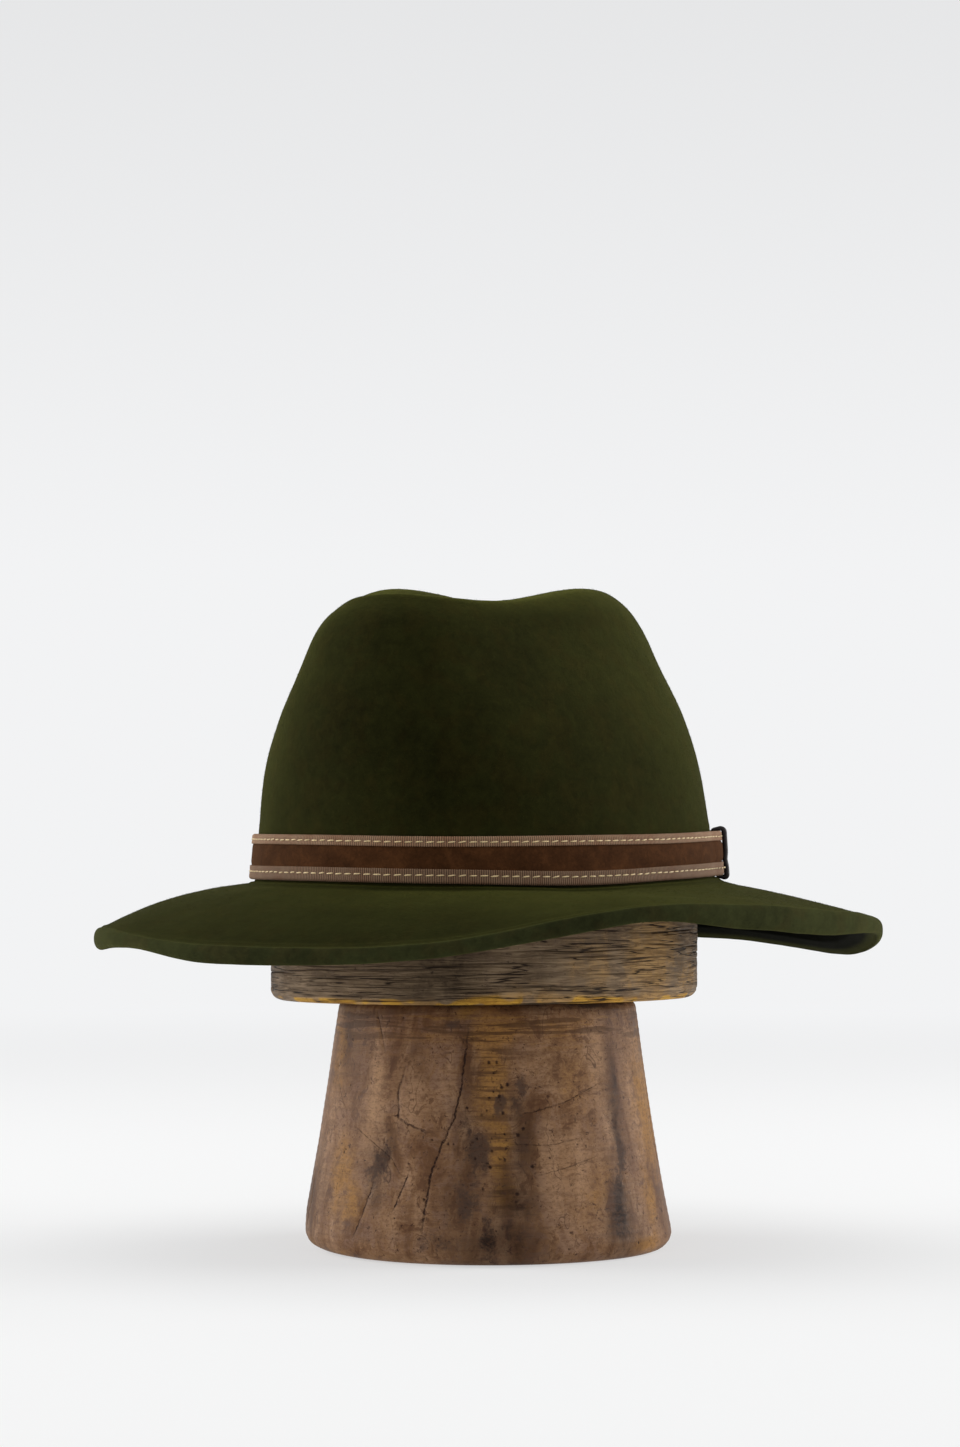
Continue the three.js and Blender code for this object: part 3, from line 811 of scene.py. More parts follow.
def nap_fibres(context, surface, upper, normal):
    """Short loose wool fibres lying on the felt and standing out a little, as one joined mesh."""
    felt = context.scene.loden_felt
    rng = np.random.default_rng(41)
    around = upper.shape[1]
    here = upper[1:-1]
    step_down = np.linalg.norm(upper[2:] - here, axis=2)
    step_round = np.linalg.norm(np.roll(here, -1, axis=1) - here, axis=2)
    area = step_down * step_round
    area[CROWN_ROWS - 1 : FIRST_BRIM_ROW - 1] = 0
    chosen = rng.choice(area.size, felt.fibres, p=(area / area.sum()).ravel())
    row, column = np.unravel_index(chosen, area.shape)
    row = row + 1
    a, b = rng.random((2, felt.fibres, 1))
    after = (column + 1) % around
    corner = upper[row, column]
    root = corner + a * (upper[row + 1, column] - corner) + b * (upper[row, after] - corner)
    up = normal[row, column]
    along = rng.normal(size=(felt.fibres, 3))
    along -= up * np.sum(along * up, axis=1, keepdims=True)
    along /= np.linalg.norm(along, axis=1, keepdims=True)
    lift = rng.uniform(0.15, 0.75, (felt.fibres, 1)) ** 1.5
    direction = along + up * lift
    direction /= np.linalg.norm(direction, axis=1, keepdims=True)
    side = np.cross(direction, up)
    side /= np.linalg.norm(side, axis=1, keepdims=True)
    across = np.cross(side, direction)
    reach = rng.uniform(0.5, 1.5, (felt.fibres, 1)) * MM
    width = rng.uniform(0.025, 0.045, (felt.fibres, 1)) * MM
    base = root - up * 0.05 * MM
    tip = base + direction * reach
    thirds = (0, TURN / 3, 2 * TURN / 3)
    corners = [base + width * (math.cos(t) * side + math.sin(t) * across) for t in thirds]
    points = surface.seated(np.stack([*corners, tip], axis=1).reshape(-1, 3))
    first = (np.arange(felt.fibres) * 4)[:, None]
    pattern = np.array([[0, 2, 1], [0, 1, 3], [1, 2, 3], [2, 0, 3]])
    faces = (first[:, :, None] + pattern[None]).reshape(-1, 3).tolist()
    return new_piece("felt_nap", points, faces, felt_finish(felt, "wool_nap"), "felt")


# The band

# The solid band has flat facets, and it stands off the felt over whole ones at the keeper
BAND_FACET = TURN / 64


def stand_off(band, angle, share):
    """How far the band stands off the felt at a share of its height, to clear the keeper."""
    facets = np.abs(angle - band.keeper_angle) / BAND_FACET
    clear = (band.keeper_room - band.gap) * (1 - ease(facets, 1, 3))
    flare = band.keeper_flare * share * (1 - ease(facets, 1, 6))
    return band.gap + clear + flare


def band_level(band, angle, share):
    """Height above the crown's foot at a share of the way from the band's lower edge to its top."""
    low = band.lift + round_table(BAND_LOW_RISES, angle) * MM
    high = band.lift + band.height + round_table(BAND_TOP_RISES, angle) * MM
    return low + (high - low) * share


def band_thickness(band):
    return band.suede_thickness + 2 * (band.ribbon_thickness + band.piece_gap)


def band_angles(surface, count):
    """Angles that cut the band's whole length into even steps, and that length."""
    fine = np.linspace(0, TURN, 7201)
    line = surface.wall(fine, np.full_like(fine, 10 * MM))
    run = np.concatenate([[0], np.cumsum(np.linalg.norm(np.diff(line, axis=0), axis=1))])
    return np.interp(np.arange(count) * run[-1] / count, run, fine), run[-1]


def band_length(surface):
    return band_angles(surface, 1)[1]


def ribbon(context, surface, name, node, over_top):
    """A ribbed ribbon folded round an edge of the suede, with a dip along its stitching. Each rib
    takes four steps round the band, two high and two low."""
    band = context.scene.loden_band
    width, stitch_inset = band.lower_width, band.lower_inset
    if over_top:
        width, stitch_inset = band.upper_width, band.upper_inset
    ribs = round(band_length(surface) / band.rib_pitch)
    angle, _ = band_angles(surface, ribs * 4)
    phase = np.arange(len(angle)) * TURN / 4 + TURN / 8
    rib = 0.5 + 0.5 * np.cos(phase) * math.sqrt(2)
    half = band.ribbon_thickness / 2
    outer = band_thickness(band)
    fold = (outer - band.ribbon_thickness) / 2
    stitch_at = width - stitch_inset
    face = np.linspace(width, fold, 7)
    turn = np.linspace(0, math.pi, 6)[1:-1]
    back = np.linspace(fold, band.back_width, 3)
    # Middle line as depth behind the outer face and distance from the ribbon's folded edge
    middle = [(outer - half, d) for d in face]
    middle += [(outer / 2 + fold * math.cos(t), fold - fold * math.sin(t)) for t in turn]
    middle += [(half, d) for d in back]
    middle = np.array(middle)
    along = np.gradient(middle, axis=0)
    along /= np.linalg.norm(along, axis=1, keepdims=True)
    out = np.stack([-along[:, 1], along[:, 0]], axis=1)
    rows, ribbed = [], []
    for side in (1, -1):
        order = range(len(middle)) if side == 1 else range(len(middle) - 1, -1, -1)
        for i in order:
            depth, distance = middle[i] + out[i] * half * side
            on_face = side == 1 and i < len(face)
            rows.append((depth, distance, 1.0 if side == 1 else 0.0, on_face))
    first = 1.0 if over_top else 0.0
    level = band_level(band, angle, first)
    sign = -1 if over_top else 1
    points = []
    for depth, distance, raised, on_face in rows:
        ridge = 0.13 * MM * (rib - 0.5) * raised
        dip = 0.16 * MM * bell(distance - stitch_at, 0.55 * MM) * on_face
        loops = 0.07 * MM * (rib - 0.5) * (distance > width - 0.1 * MM)
        share = first + sign * distance / band.height
        reach = stand_off(band, angle, share) + depth + ridge - dip
        points.append(surface.outside_wall(angle, reach, level + sign * (distance + loops)))
        # The outer face keeps each rib's place for its painted shade and highlight, the back a fixed
        # value
        ribbed.append(rib if raised else np.full_like(rib, 0.3))
    points = np.stack(points)
    count = len(rows)
    faces = ring_faces(count, len(angle), joined=True, flip=over_top)
    vertices = surface.seated(points).reshape(-1, 3)
    # The upper ribbon is painted lighter and the lower one darker: painted light and shade on one
    # ribbon
    finish = ribbon_finish(band, 1.23 if over_top else 0.86)
    piece = new_piece(name, vertices, faces, finish, "ribbon", node)
    paint(piece, capped=False, rib=np.clip(np.stack(ribbed), 0, 1))


def stitches(context, surface, name, share):
    """A row of machine stitches round the band at a share of its height, each a short arched piece
    of thread. They stand off as the band's top does and leave out the keeper's place."""
    band = context.scene.loden_band
    count = round(band_length(surface) / band.stitch_pitch)
    angle, _ = band_angles(surface, count)
    levels = band_level(band, angle, share)
    rng = np.random.default_rng(7)
    sides, stations = 7, 7
    radius = band.thread / 2
    spread = np.linspace(-1, 1, stations)
    thick = radius * np.sqrt(np.clip(1 - 0.92 * np.abs(spread) ** 3, 0.05, 1))
    arch = 0.20 * MM * (1 - spread**2)
    vertices, faces = [], []
    face_depth = band_thickness(band) - 0.10 * MM
    sunk = 0.06 * MM
    for number in range(count):
        wander = rng.normal(0, 0.05, 3) * MM
        if abs(angle[number] - band.keeper_angle) < math.radians(4.5):
            continue
        tilt = band.stitch_lean + math.radians(rng.normal(0, 2.5))
        at, level = angle[number : number + 1], levels[number] + wander[2]
        reach = stand_off(band, at, 1) + face_depth
        centre = surface.outside_wall(at, reach, level)[0]
        beside = surface.outside_wall(at + 1e-4, reach, level)[0]
        along = (beside - centre) / np.linalg.norm(beside - centre)
        up = np.array([0, 0, 1.0])
        out = np.cross(along, up)
        level_along, c, s = along, math.cos(tilt), math.sin(tilt)
        along, up = level_along * c + up * s, up * c - level_along * s
        start = len(vertices)
        half_length = band.stitch_length / 2 * rng.uniform(0.92, 1.06)
        for place, size, rise in zip(spread, thick, arch):
            middle = centre + along * (place * half_length + wander[0]) + out * (rise - sunk)
            for side in range(sides):
                t = TURN * side / sides
                vertices.append(middle + size * (math.cos(t) * out * 0.8 + math.sin(t) * up))
        first_pole = len(vertices)
        for end in (-1, 1):
            shift = end * (half_length + 0.4 * radius) + wander[0]
            vertices.append(centre + along * shift - out * sunk)
        for station in range(stations - 1):
            for side in range(sides):
                a = start + station * sides + side
                b = start + station * sides + (side + 1) % sides
                faces.append((a, a + sides, b + sides, b))
        last = start + (stations - 1) * sides
        for side in range(sides):
            faces.append((first_pole, start + side, start + (side + 1) % sides))
            faces.append((first_pole + 1, last + (side + 1) % sides, last + side))
    points = surface.seated(np.array(vertices))
    return new_piece(name, points, faces, thread_finish(band), "ribbon")


def suede_strip(context, surface):
    """The suede strip, a little full between its bound edges."""
    band = context.scene.loden_band
    angle, _ = band_angles(surface, 720)
    back = band.ribbon_thickness + band.piece_gap
    front = back + band.suede_thickness
    low, high = back, band.height - back
    section = [(front, level, True) for level in np.linspace(high, low, 17)]
    section += [(back, level, False) for level in np.linspace(low, high, 4)]
    from_keeper = np.abs(turned(angle, math.degrees(band.keeper_angle)))
    full = 0.28 + 0.45 * (1 - ease(from_keeper, 8, 26))
    rows = []
    for depth, level, shown in section:
        height = band_level(band, angle, level / band.height)
        reach = stand_off(band, angle, level / band.height) + depth
        if shown:
            free = ease(level, band.lower_width, band.lower_width + 2 * MM)
            below_upper = high - band.upper_width - level
            free = free * ease(below_upper, -0.8 * MM, 1.2 * MM)
            spot = surface.outside_wall(angle, reach, height)
            reach = reach + free * (full + 0.12 * smooth_noise(spot, 90, 3, 1.3)) * MM
        rows.append(surface.outside_wall(angle, reach, height))
    points = np.stack(rows)
    faces = ring_faces(len(rows), len(angle), joined=True)
    vertices = surface.seated(points).reshape(-1, 3)
    return new_piece("suede", vertices, faces, suede_finish(band), "suede", "band_suede")


def keeper_loop(context, surface):
    """The leather keeper: a narrow strap with rounded edges, closed round the band."""
    band = context.scene.loden_band
    half = band.keeper_thickness / 2
    corner = 1.0 * MM
    middle_angle = np.array([band.keeper_angle])
    left = (band.keeper_room - band.keeper_thickness) / 2 + half
    clear = band.keeper_gap + half
    right = float(stand_off(band, middle_angle, 0)[0]) + band_thickness(band) + clear
    bottom = float(band_level(band, middle_angle, 0)[0]) - clear
    top = float(band_level(band, middle_angle, 1)[0]) + clear
    corners = [
        (right - corner, top - corner, 0.0),
        (left + corner, top - corner, 0.25),
        (left + corner, bottom + corner, 0.5),
        (right - corner, bottom + corner, 0.75),
    ]
    line, outward = [], []
    for number, (x, y, first) in enumerate(corners):
        for step in np.linspace(0, 0.25, 6):
            t = TURN * (first + step)
            line.append((x + corner * math.cos(t), y + corner * math.sin(t)))
            outward.append((math.cos(t), math.sin(t)))
        x_next, y_next, _ = corners[(number + 1) % 4]
        end = np.array(line[-1])
        t = TURN * ((first + 0.25) % 1)
        go = np.array([x_next + corner * math.cos(t), y_next + corner * math.sin(t)]) - end
        for share in np.linspace(0, 1, 15 if number in (1, 3) else 4)[1:-1]:
            line.append(tuple(end + go * share))
            outward.append(outward[-1])
    line, outward = np.array(line), np.array(outward)
    outside = ease(line[:, 0], left, right)
    rise = (line[:, 1] - bottom) / (top - bottom)
    nip = 0.40 * MM * bell(rise - 0.37, 0.10)
    line[:, 0] += outside * (band.keeper_flare * np.clip(rise, 0, 1) - nip)
    across = []
    for t in np.linspace(0, TURN, 20, endpoint=False) + TURN / 40:
        c, s = math.cos(t), math.sin(t)
        wide = math.copysign(abs(c) ** 0.28, c) * band.keeper_width / 2
        thick = math.copysign(abs(s) ** 0.75, s) * half
        across.append((wide, thick))
    base = surface.outside_wall(middle_angle, np.zeros(1), np.zeros(1))[0]
    beside = surface.outside_wall(middle_angle + 1e-4, np.zeros(1), np.zeros(1))[0]
    sideways = (beside - base) / np.linalg.norm(beside - base)
    rows = []
    for (depth, level), (nx, ny), share in zip(line, outward, outside):
        row = []
        for wide, thick in across:
            thick *= 1 + 1.3 * share * (thick > 0)
            reach, height = np.array([[depth + nx * thick], [level + ny * thick]])
            row.append(surface.outside_wall(middle_angle, reach, height)[0] + sideways * wide)
        rows.append(row)
    points = np.array(rows)
    faces = ring_faces(len(rows), len(across), joined=True)
    vertices = surface.seated(points).reshape(-1, 3)
    finish = leather_finish(band)
    return new_piece("keeper_strap", vertices, faces, finish, "keeper_leather", "keeper")


# The stand


def rounded_outline(bottom, top, low_radius, high_radius, low_round, high_round, side_rows):
    """Radius and height of a turned body from the middle of its top to the middle of its base."""
    cap_rows = 5
    lean = math.atan2(low_radius - high_radius, top - bottom)
    line = [(r, bottom) for r in np.linspace(0, low_radius - low_round, cap_rows)]
    for t in np.linspace(-math.pi / 2, lean, 9)[1:]:
        inset, rise = low_round * (1 - math.cos(t)), low_round * (1 + math.sin(t))
        line.append((low_radius - inset, bottom + rise))
    start = line[-1]
    upper = []
    for t in np.linspace(lean, math.pi / 2, 8):
        inset, fall = high_round * (1 - math.cos(t)), high_round * (1 - math.sin(t))
        upper.append((high_radius - inset, top - fall))
    for share in side_rows[1:-1]:
        line.append(tuple(np.array(start) * (1 - share) + np.array(upper[0]) * share))
    line += upper
    line += [(r, top) for r in np.linspace(high_radius - high_round, 0, cap_rows)[1:]]
    return np.array(line[::-1])


def turned_grid(line, around, half_length_share=1.0):
    angle = np.arange(around) * TURN / around
    x = line[:, :1] * np.sin(angle)
    y = -line[:, :1] * np.cos(angle) * half_length_share
    z = np.broadcast_to(line[:, 1:], x.shape)
    return angle, np.stack([x, y, z], axis=-1)


def side_share(points):
    """1 on the side of a turned body, 0 on its flat base and top."""
    normal = grid_normals(points)
    return ease(np.hypot(normal[..., 0], normal[..., 1]), 0.2, 0.9)


# Soft patches of the wood, each the angle from the front in degrees and height in mm of the
# middle, half width in degrees, half height in mm, strength. Most are ochre wear, dark stains and
# pale wood; some are painted shade on the front and painted highlights of the side lamps
BLOCK_OCHRE = (
    (85, 116, 9, 22, 1.0),
    (104, 108, 12, 12, 0.65),
    (64, 112, 8, 16, 0.55),
    (-52, 104, 8, 10, 0.4),
    (46, 104, 10, 6, 0.4),
    (150, 112, 16, 14, 0.7),
    (215, 106, 14, 12, 0.6),
    (268, 120, 12, 14, 0.8),
)
# The block's dark patches: the first rows, on its front where the side lamps light it least, are
# painted shade; the others are dark stains
BLOCK_SHADE = (
    (23, 114, 14, 20, 0.78),
    (44, 112, 8, 10, 0.45),
    (-9, 112, 7, 5, 0.30),
    (-40, 120, 12, 10, 0.25),
    (96, 124, 6, 14, 0.25),
    (128, 112, 10, 14, 0.5),
    (190, 118, 14, 12, 0.6),
    (240, 106, 9, 8, 0.5),
    (305, 112, 12, 12, 0.5),
)
PEDESTAL_OCHRE = (
    (31, 70, 6.5, 22, 0.95),
    (31, 44, 5, 14, 0.95),
    (33, 27, 4, 8, 0.75),
    (22, 95, 8, 3, 0.90),
    (-26, 34, 7, 14, 1.00),
    (-20, 20, 6, 9, 0.80),
    (62, 70, 7, 14, 0.45),
    (104, 58, 13, 26, 1.00),
    (93, 22, 6, 15, 0.80),
    (88, 4, 10, 4, 0.90),
    (66, 28, 7, 12, 0.45),
    (-48, 5, 9, 4, 0.50),
    (150, 68, 12, 20, 0.75),
    (192, 30, 12, 16, 0.65),
    (232, 62, 10, 24, 0.80),
    (271, 22, 14, 14, 0.60),
    (322, 76, 9, 16, 0.60),
)
# Pale patches: the rows at -15 and 71 degrees are painted highlights where the side lamps shine on
# the foot, the others pale wood
PEDESTAL_PALE_AND_HIGHLIGHTS = (
    (-15, 66, 4.5, 24, 0.80),
    (71, 78, 5, 20, 0.70),
    (54, 76, 12, 18, 0.55),
    (56, 38, 12, 20, 0.50),
    (64, 18, 8, 10, 0.40),
    (-1, 14, 9, 9, 0.45),
    (4, 60, 7, 14, 0.35),
    (168, 50, 8, 22, 0.45),
    (252, 44, 8, 20, 0.45),
)
# The foot's dark patches: the rows from 17 to 40 degrees, on its front where the side lamps light it
# least, are painted shade; the others are dark stains
PEDESTAL_SHADE = (
    (32, 6, 15, 14, 0.92),
    (37, 24, 8, 17, 0.88),
    (40, 44, 6, 18, 0.74),
    (21, 8, 9, 8, 0.45),
    (-8.5, 40, 4.5, 12, 0.62),
    (-9, 26, 4, 7, 0.55),
    (-54, 18, 14, 22, 0.62),
    (-66, 40, 8, 16, 0.40),
    (79, 52, 4.5, 26, 0.60),
    (75, 16, 7, 18, 0.92),
    (-32, 84, 9, 12, 0.30),
    (1, 78, 8, 12, 0.32),
    (22, 50, 5, 34, 0.45),
    (17, 22, 5, 12, 0.35),
    (128, 40, 8, 30, 0.55),
    (175, 16, 16, 14, 0.60),
    (214, 50, 8, 30, 0.50),
    (262, 60, 6, 26, 0.60),
    (292, 20, 12, 20, 0.55),
)
PEDESTAL_STAINS = (
    (42, 68, 3, 6, 0.80),
    (40, 58, 4, 6, 0.60),
    (24.5, 46, 4, 12, 0.80),
    (21, 26, 5, 10, 0.60),
    (33.5, 58, 2, 3, 0.95),
    (80, 66, 2.5, 12, 0.50),
    (78, 40, 4, 12, 0.75),
    (75, 20, 5, 14, 0.80),
    (-9, 36, 4, 11, 0.70),
    (29, 10, 5, 11, 0.60),
    (14, 7, 8, 5, 0.50),
    (72, 96, 8, 2.5, 0.50),
    (15.5, 91, 3, 3, 0.70),
    (33, 28, 6, 8, 0.40),
    (128, 46, 7, 18, 0.60),
    (172, 22, 8, 14, 0.60),
    (210, 74, 6, 15, 0.60),
    (260, 62, 6, 22, 0.65),
)

# Cracks of the turned foot: width in mm, strength, and the angle in degrees and height in mm of
# points along each
PEDESTAL_CRACKS = (
    (0.40, 1.0, (
        (22.9, 95), (21.0, 77), (20.1, 68), (18.0, 56),
        (14.2, 46), (10.9, 35), (9.6, 22), (8.3, 8),
    )),
    (0.42, 0.55, ((-0.9, 76), (-3.4, 65), (-2.3, 55), (4.7, 51.5), (13.4, 48.5))),
    (0.22, 0.5, ((-17.0, 96), (-13.0, 86), (-10.5, 79))),
    (0.30, 0.8, ((-9.5, 31), (-13.3, 18), (-16.5, 8))),
    (0.28, 0.7, ((3.4, 36), (1.0, 27), (-1.8, 19))),
    (0.20, 0.5, ((-24.0, 52), (-13.0, 46), (-4.0, 40), (1.0, 33))),
    (0.24, 0.50, ((75.0, 69), (66.0, 65.5), (57.5, 61.6), (44.6, 57.8), (38.0, 57.2))),
    (0.20, 0.45, ((68.0, 40.5), (56.0, 36.8), (43.7, 33.4))),
    (0.20, 0.40, ((62.0, 47.5), (50.0, 45.2), (34.4, 46))),
    (0.20, 0.45, ((-40.0, 70), (-33.0, 61), (-27.0, 55))),
    (0.36, 0.9, ((110.0, 94), (112.0, 70), (108.0, 48), (113.0, 24))),
    (0.26, 0.6, ((150.0, 60), (160.0, 66), (172.0, 78))),
    (0.34, 0.8, ((185.0, 40), (188.0, 24), (184.0, 6))),
    (0.30, 0.7, ((205.0, 90), (203.0, 74), (208.0, 62))),
    (0.24, 0.5, ((240.0, 50), (252.0, 44), (265.0, 47))),
    (0.34, 0.9, ((275.0, 88), (277.0, 66), (273.0, 45), (276.0, 30))),
    (0.30, 0.7, ((310.0, 34), (313.0, 20), (309.0, 8))),
)


def patches(rows, about, level):
    """The strength of soft patches at angles in degrees and levels in mm."""
    total = np.zeros(level.shape)
    for angle, height, half_angle, half_height, strength in rows:
        near = bell(degrees_from(angle, about), half_angle) * bell(level - height, half_height)
        total = np.maximum(total, strength * near)
    return total


def stand_block(context):
    """The oval block, with long cracks along its grain, a worn lower edge and painted shade on its
    front.
    """
    stand = context.scene.loden_stand
    rng = np.random.default_rng(23)
    bottom = stand.pedestal_height + stand.gap
    shown_rows = np.linspace(0, 0.36, 92)
    side_rows = np.concatenate([shown_rows, np.linspace(0.36, 1, 12)[1:]])
    width = stand.block_half_width
    roundings = stand.block_bottom_round, stand.block_top_round
    line = rounded_outline(bottom, stand.block_top, width, width, *roundings, side_rows)
    angle, points = turned_grid(line, 480, stand.block_half_length / width)
    side = side_share(points)
    level = (points[..., 2] - bottom) / MM
    crack = np.zeros(points.shape[:2])
    for _ in range(150):
        at = rng.uniform(2.5, 42)
        centre = rng.uniform(0, TURN)
        half_angle = rng.uniform(0.04, 0.40)
        wide = rng.uniform(0.16, 0.32)
        strength = rng.uniform(0.25, 0.85)
        wobble = 0.35 * np.sin(angle * rng.integers(5, 14) + rng.uniform(0, TURN))
        away = np.abs((angle - centre + math.pi) % TURN - math.pi) / half_angle
        shown = np.clip(1 - away**2, 0, 1) * strength
        crack = np.maximum(crack, shown[None] * bell(level - at - wobble[None], wide))
    crack *= side
    grain = smooth_noise(points * (0.25, 0.25, 3.2), 120, 3, 2.2)
    lumps = smooth_noise(points, 28, 2, 5.5)
    worn = np.clip(smooth_noise(points, 60, 3, 9.1) + 0.35, 0, 1) * bell(level - 1.0, 3.0)
    normal = grid_normals(points)
    push = (0.16 * grain + 0.22 * lumps - 0.6 * worn) * side - 0.5 * crack
    vertices, faces = capped_surface(points + normal * (push * MM)[..., None])

    warp = smooth_noise(points * (1, 1, 0.6), 55, 3, 12.5)
    about = np.degrees(angle)[None] + 7 * warp
    lifted = points[..., 2] / MM + 5 * smooth_noise(points, 48, 3, 6.1)
    edge_wear = ease(warp + 0.35, 0.0, 0.30) * bell(level - 0.2, 1.6 + 1.9 * bell(about - 43, 20))
    piece = new_piece("wood_block", vertices, faces, block_finish(), "block_wood", "stand_block")
    fields = {
        "crack": np.clip(crack * 1.4, 0, 1),
        "ochre": np.clip(edge_wear + patches(BLOCK_OCHRE, about, lifted), 0, 1),
        "gold": edge_wear * ease(smooth_noise(points * (1, 1, 0.4), 70, 3, 4.4), -0.5, 0.0),
        "shade": patches(BLOCK_SHADE, about, lifted),
    }
    paint(piece, **fields)


def distance_to_line(across, up, line):
    """Distance in mm from points to a chain of points, both given as mm across and mm up, less than
    0 on its right, and the share of the way along the chain."""
    nearest = np.full(across.shape, 1e9)
    share = np.zeros(across.shape)
    side = np.ones(across.shape)
    steps = len(line) - 1
    for number, (start, end) in enumerate(zip(line[:-1], line[1:])):
        go = end - start
        x, y = across - start[0], up - start[1]
        t = np.clip((x * go[0] + y * go[1]) / (go @ go), 0, 1)
        away = np.hypot(x - t * go[0], y - t * go[1])
        nearer = away < nearest
        share = np.where(nearer, (number + t) / steps, share)
        side = np.where(nearer, np.where(go[0] * y - go[1] * x < 0, -1, 1), side)
        nearest = np.minimum(nearest, away)
    return nearest * side, share


def crack_fields(angle, level, radius):
    """For each point of the foot: its place across the nearest crack in crack widths, how strongly
    that crack shows there, and how deep it is."""
    place = np.full(level.shape, 9.0)
    near = np.zeros(level.shape)
    depth = np.zeros(level.shape)
    for width, strength, points in PEDESTAL_CRACKS:
        middle = sum(at for at, _ in points) / len(points)
        across = np.broadcast_to(np.radians(turned(angle, middle)) * radius, level.shape)
        line = np.array([(math.radians(at - middle) * radius, height) for at, height in points])
        away, share = distance_to_line(across, level, line)
        taper = np.clip(6 * share, 0, 1) * np.clip(6 * (1 - share), 0, 1) * strength
        shown = taper * bell(away, 2.2)
        place = np.where(shown > near, away / (1.5 * width), place)
        near = np.maximum(near, shown)
        depth = np.maximum(depth, taper * bell(away, 0.75))
    return place, near, depth


def worm_holes(rng, angle, rows_level, level, radius):
    """How far each point of the foot lies in a worm hole, from 0 to 1. Most holes are small and lie
    anywhere, and larger ones crowd along two lines up the foot."""
    holes = np.zeros(level.shape)
    spread = [
        (rng.uniform(0, 360), rng.uniform(4, 97), rng.uniform(0.35, 0.85)) for _ in range(230)
    ]
    for middle, breadth, count in ((34, 6, 55), (221, 8, 40)):
        for _ in range(count):
            row = rng.normal(middle, breadth), rng.uniform(24, 82), rng.uniform(0.5, 1.25)
            spread.append(row)
    for place, at, size in spread:
        rows = np.abs(rows_level - at) < 4
        gap = np.radians(turned(angle, place)) * radius
        columns = np.abs(gap) < 4
        window = np.ix_(rows, columns)
        hole = bell(np.hypot(gap[None, columns], level[rows][:, columns] - at), size)
        holes[window] = np.maximum(holes[window], hole * rng.uniform(0.5, 1.0))
    return holes


def stand_pedestal(context):
    """The turned foot, with cracks, worm holes, stains, worn edges, painted shade and painted
    highlights.
    """
    stand = context.scene.loden_stand
    rng = np.random.default_rng(11)
    low, high = stand.pedestal_bottom, stand.pedestal_top
    height = stand.pedestal_height
    roundings = stand.pedestal_bottom_round, stand.pedestal_top_round
    line = rounded_outline(0, height, low, high, *roundings, np.linspace(0, 1, 116))
    share = line[:, 1] / height
    line[:, 0] -= 4 * stand.pedestal_hollow * share * (1 - share) * (line[:, 0] > 0.7 * high)
    angle, points = turned_grid(line, 600)
    side = side_share(points)
    radius = (low + high) / 2 / MM
    level = points[..., 2] / MM
    crack_side, crack_near, depth = crack_fields(angle, level, radius)
    holes = worm_holes(rng, angle, line[:, 1] / MM, level, radius) * side
    lumps = smooth_noise(points, 18, 3, 6.6)
    turning = np.sin(level * 2.1 + 2.5 * lumps) * side
    wear = np.clip(smooth_noise(points, 55, 3, 1.9) + 0.2, 0, 1)
    wear = wear * (bell(level - 2, 4) + bell(level - height / MM, 2.5))
    from_axis = np.hypot(points[..., 0], points[..., 1]) / low
    worn_side = bell(turned(angle, 305), 36)[None] * ease(from_axis, 0.80, 0.97)
    left_wear = 1.5 * worn_side * (1 - ease(level, 0, 18))
    normal = grid_normals(points)
    push = (0.35 * lumps + 0.05 * turning - 0.5 * wear) * side
    push = push - 0.5 * depth - 0.45 * holes - left_wear
    vertices, faces = capped_surface(points + normal * (push * MM)[..., None])

    warp = smooth_noise(points * (1, 1, 0.45), 62, 3, 8.8)
    about = np.degrees(angle)[None] + 4.5 * warp
    lifted = level + 6 * smooth_noise(points, 50, 3, 3.3)
    base_edge = bell(level - 1.5, 3.0) * ease(lumps + 0.35, 0.05, 0.4)
    streaks = smooth_noise(points * (0.3, 0.3, 2), 45, 3, 2.7)
    top_lines = bell(level - 90, 6) * ease(streaks, -0.18, 0.2)
    ochre = patches(PEDESTAL_OCHRE, about, lifted)
    stain_and_joint_shade = patches(PEDESTAL_STAINS, about, lifted)
    shade = patches(PEDESTAL_SHADE, about, lifted)
    ringed = patches(PEDESTAL_OCHRE[:3], about, lifted)
    finish = pedestal_finish()
    piece = new_piece("wood_foot", vertices, faces, finish, "pedestal_wood", "stand_pedestal")
    fields = {
        "crack_side": np.clip(crack_side, -8, 8),
        "crack_near": crack_near * side,
        "pit": holes,
        "ochre": np.clip(ochre + 0.35 * base_edge + 0.5 * top_lines, 0, 1),
        "pale": patches(PEDESTAL_PALE_AND_HIGHLIGHTS, about, lifted),
        # Dark stains, and a painted shadow line round the top, under the block
        "stain_and_joint_shade": np.clip(stain_and_joint_shade + 0.6 * bell(level - 99, 1.8), 0, 1),
        # A painted shade band round the top, under the block
        "shade": np.clip(shade + 0.30 * bell(level - 99, 7), 0, 0.92),
        "turned": np.clip(ringed + 0.8 * bell(level - 90, 8), 0, 1),
    }
    paint(piece, **fields)


# Floor, lights and camera


# Soft lights: name, place in metres to the camera's right, away from it and up, width and height in
# metres, watts
LIGHTS = (
    ("left_light", (-1.9, 0.30, 0.65), (1.3, 1.2), 30),
    ("right_light", (1.9, 0.35, 0.65), (1.3, 1.2), 35),
    ("front_light", (-0.7, -2.1, 0.6), (1.0, 1.0), 4),
    ("floor_light", (0, 0, 2.6), (2.5, 2.5), 22),
)
LIT_HEIGHT = 0.17

# The camera in pixels of the photograph: size, focal length, the horizon's row, the stand's column
PHOTO_WIDTH, PHOTO_HEIGHT = 960, 1447
FOCAL_PIXELS = 3250
HORIZON_ROW, AXIS_COLUMN = 890, 487


